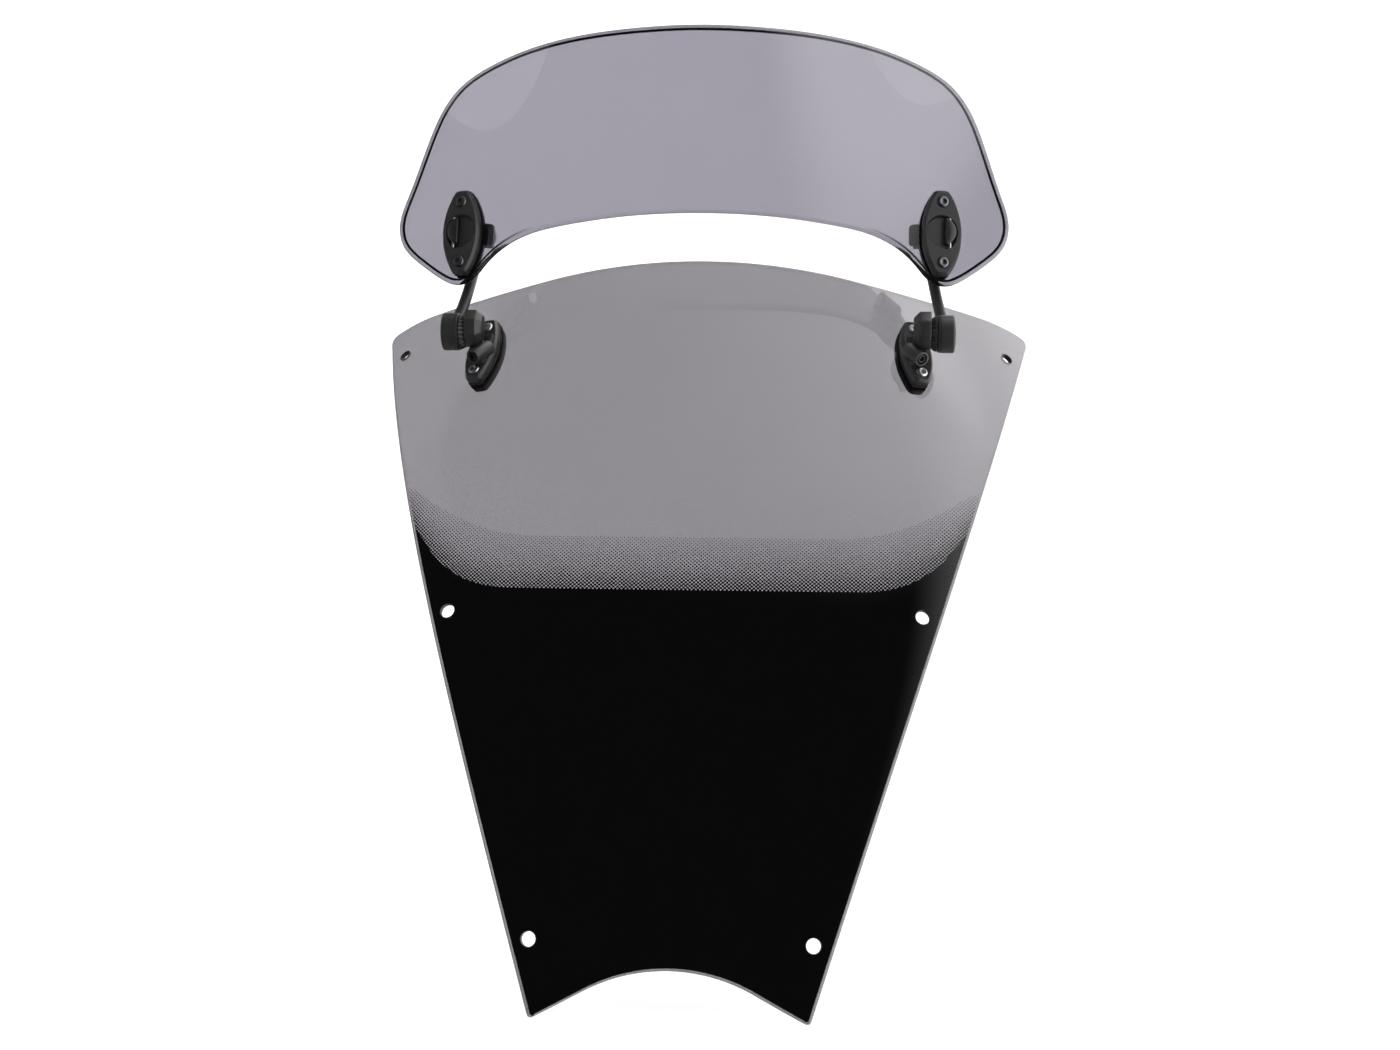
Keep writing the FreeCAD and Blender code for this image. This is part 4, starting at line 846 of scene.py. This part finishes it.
def bladeParts():
    # Leaf plate with a teardrop finger recess and a half-moon lever; behind, a base with two ears and a pin.
    lay, layRear, loop = layOn(bladeSeat), layOn(bladeSeat, True), leafLoop(leafForm)
    shell = Shell()
    angle = 2 * np.pi * np.arange(128) / 128
    # Teardrop: a circle whose radius swells towards the lower outer side.
    off = (angle - recessForm["point"] + np.pi) % (2 * np.pi) - np.pi
    reach = recessForm["radius"] + recessForm["swell"] * np.exp(-(off / recessForm["spread"]) ** 2)
    drop = np.stack([recessForm["x"] + reach * np.cos(angle), recessForm["up"] + reach * np.sin(angle)], 1)
    halfSpread = leafForm["spread"] / 2
    seats = [circle(screwForm["seat"], (0, k * halfSpread)) for k in (1, -1)]
    bevel = [(0.4, 0.8), (0.05, 1.0), (0, 1.4), (0, 3.2), (0.2, 3.8), (1.1, 5.4), (1.5, 5.8)]
    pockets = [(s, [(0, 5.8), (0.25, 5.55), (0.25, 4.4)]) for s in seats]
    pockets.append((drop, [(0, 5.8), (0.2, 5.65), (0.35, 5.3), (0.7, 3.4), (0.9, 3.0), (1.2, 2.8)]))
    contourPlate(shell, lay, loop, bevel, pockets)
    makePair("frontPlate", shell, charcoalNylon, ["spoiler"], "front_plate")

    shell = Shell()
    x, up, radius, flatSide = (leverForm[k] for k in ("x", "up", "radius", "flatSide"))
    half = math.sqrt(radius**2 - (flatSide - x) ** 2)
    bow = arcPoints((flatSide, up - half), (x + radius, up), (flatSide, up + half), 120)
    moon = evenLoop(bow, 128, leverForm["ease"])
    contourPlate(shell, lay, moon, [(0.15, 3.5), (0, 3.7), (0, 5.9), (0.1, 6.3), (0.25, 6.5), (0.45, 6.6)])
    bodies = ["lever_right", "lever_left"]
    makePair("latchLever", shell, buttonNylon, bodies, "latch_lever")

    origin, across, upward, out = bladeSeat
    for label, k in (("Upper", 1), ("Lower", -1)):
        shell = Shell()
        socketScrew(shell, origin + upward * halfSpread * k + out * 4.4, out, 12.9, screwForm)
        node = f"blade_screw_{label.lower()}"
        makePair("bladeScrew" + label, shell, shadedStainless, ["spoiler"], node)

    shell = Shell()
    contourPlate(shell, layRear, loop, [(0.4, 5.5), (0, 5.9), (0, 7.6), (0.3, 8.1), (1.0, 8.5)])
    flange = rectangleLoop((0, -6.5), (17.5, 6.5), 1.5)
    contourPlate(shell, layRear, flange, [(0.3, 5.5), (0, 5.8), (0, 7.8), (0.3, 8.3), (0.8, 8.5)])
    sweep = np.radians(np.linspace(-112, 98, 60))
    rounded = np.stack([7 * np.cos(sweep), 7 * np.sin(sweep)], 1)
    ear = evenLoop(np.vstack([rounded, [(-11, 6.4), (-11, -2.4)]]) + eyeSpot[1:], 96, 0.3)
    for start in (126.1, 138.3):
        steps = ((0.5, 0), (0.12, 0.15), (0, 0.5), (0, 3.1), (0.12, 3.45), (0.5, 3.6))
        edge = [(inset, start + step) for inset, step in steps]
        contourPlate(shell, layAlongX, ear, edge)
    makePair("rearBracket", shell, charcoalNylon, ["spoiler"], "rear_bracket")

    shell = Shell()
    pin = [(2.1, 123.7), (2.5, 124.1), (2.5, 124.55), (1.9, 124.6), (1.9, 125.5), (2.5, 125.55), (2.5, 141.9),
           (3.8, 141.9), (4.0, 142.1), (4.0, 142.8), (3.6, 143.25), (2.6, 143.5), (0.4, 143.5)]
    turnedStack(shell, eyeSpot, sideways, pin)
    makePair("hingePin", shell, stainless, ["spoiler"], "hinge_pin")


footParts()
print("feet done")
knuckleParts()
print("knuckles and locking rings done")
armParts()
print("arms and buttons done")
bladeParts()
print("blade plates done")

dressNodes()
print("materials done")

stageForm = {
    "floor": -0.0405,   # metres, just under the lower tips
    "flat": 2.4,        # radius of the flat floor
    "wall": 3.6,        # radius of the wall round it
    "high": 4.5,        # height of the wall
}


def studioBowl():
    # A flat floor that turns up into a round wall: radius and height follow a quarter turn between them.
    turn = np.linspace(0, np.pi / 2, 24)
    bend = stageForm["wall"] - stageForm["flat"]
    radius = np.concatenate([[0.4, 1.2], stageForm["flat"] + bend * np.sin(turn), [stageForm["wall"]]])
    height = np.concatenate([[0, 0], bend * (1 - np.cos(turn)), [stageForm["high"]]]) + stageForm["floor"]
    angle = np.linspace(0, 2 * np.pi, 96, endpoint=False)
    shell, around = Shell(), np.stack([np.cos(angle), np.sin(angle), np.zeros(96)], 1)
    index = [shell.add(r * around + (0, 0, h)) for r, h in zip(radius, height)]
    shell.fan(index[0], (0, 0, stageForm["floor"]))
    for a, b in zip(index[:-1], index[1:]):
        shell.band(b, a)
    points, faces, _ = shell.done()
    mesh = bpy.data.meshes.new("studioFloor")
    mesh.from_pydata(points, [], faces)
    mesh.polygons.foreach_set("use_smooth", [True] * len(faces))
    material, output = startMaterial("paleStudioPaint")
    paint = addNode(material, "BsdfPrincipled", {
        "Base Color": linear("#f4f4f4"), "Roughness": 0.9, "Specular IOR Level": 0.1,
        "Emission Color": linear("#ffffff"), "Emission Strength": 0.33,
    })
    material.node_tree.links.new(paint.outputs[0], output.inputs[0])
    mesh.materials.append(material)
    floor = bpy.data.objects.new("studioFloor", mesh)
    bpy.context.scene.collection.objects.link(floor)
    floor.visible_glossy = False


def softBox(name, where, aim, wide, tall, power):
    # A rectangular lamp that no camera ray or clear sheet shows.
    light = bpy.data.lights.new(name, "AREA")
    light.shape, light.size, light.size_y, light.energy = "RECTANGLE", wide, tall, power
    lamp = bpy.data.objects.new(name, light)
    lamp.location = where
    lamp.rotation_euler = (Vector(aim) - Vector(where)).to_track_quat("-Z", "Y").to_euler()
    bpy.context.scene.collection.objects.link(lamp)
    lamp.visible_camera = False
    lamp.visible_transmission = False
    return lamp


studioBowl()
softBox("keyTop", (-0.5, -1.1, 2.1), (0, 0.1, 0.25), 1.4, 1.0, 2.5).visible_glossy = False
softBox("overhead", (-0.1, -0.25, 2.3), (0, 0.1, 0.25), 0.8, 0.8, 3.0).visible_glossy = False
softBox("sideRight", (1.9, -0.75, 0.75), (0.1, 0.1, 0.3), 0.6, 1.3, 2.0)
softBox("sideLeft", (-1.9, -0.55, 0.75), (-0.1, 0.1, 0.25), 0.6, 1.3, 2.0)

# The air round the stage only shows in reflections: bright behind the object, dark before it, and pale low
# to the right. Each step is a smooth ramp over one axis of the direction.
world = bpy.data.worlds.new("studioAir")
bpy.context.scene.world = world
world.use_nodes = True
air = addNode(world, "TexCoord")
ways = addNode(world, "SeparateXYZ", None, {0: (air, "Generated")})


def ramp(axis, start, end, low, high):
    settings = {
        "interpolation_type": "SMOOTHSTEP", "From Min": start, "From Max": end, "To Min": low, "To Max": high,
    }
    return addNode(world, "MapRange", settings, {"Value": (ways, axis)})


def joined(operation, first, second):
    return addNode(world, "Math", {"operation": operation}, {0: (first, 0), 1: (second, 0)})


behind = joined("MULTIPLY", ramp("Y", -0.06, 0.12, 0.0, 1.0), ramp("X", -0.4, 0.5, 0.3, 2.3))
highRight = joined("MULTIPLY", ramp("Z", 0.72, 0.9, 0.0, 1.0), ramp("X", -0.3, 0.6, 0.05, 1.4))
lowRight = joined("MULTIPLY", ramp("Y", -0.06, 0.12, 1.0, 0.0), ramp("X", 0.36, 0.72, 0.07, 2.2))
total = joined("ADD", joined("ADD", behind, highRight), lowRight)
sky = world.node_tree.nodes["Background"]
sky.inputs[0].default_value = linear("#ffffff")
world.node_tree.links.new(total.outputs[0], sky.inputs[1])

cameraForm = {
    "lens": 52.51,
    "place": (0.0849, -1.0479, 0.2151),  # metres
    "right": (0.9976, 0.0685, 0.0113),
    "up": (-0.0113, -0.0008, 0.9999),
}
camera = bpy.data.cameras.new("frontCamera")
camera.sensor_width = 36
camera.lens = cameraForm["lens"]
view = bpy.data.objects.new("frontCamera", camera)
right, up = Vector(cameraForm["right"]).normalized(), Vector(cameraForm["up"]).normalized()
turned = Matrix((right, up, right.cross(up))).transposed().to_4x4()
view.matrix_world = Matrix.Translation(cameraForm["place"]) @ turned
bpy.context.scene.collection.objects.link(view)
bpy.context.scene.camera = view
bpy.context.scene.view_settings.view_transform = "Standard"
print("stage, lights and camera done")
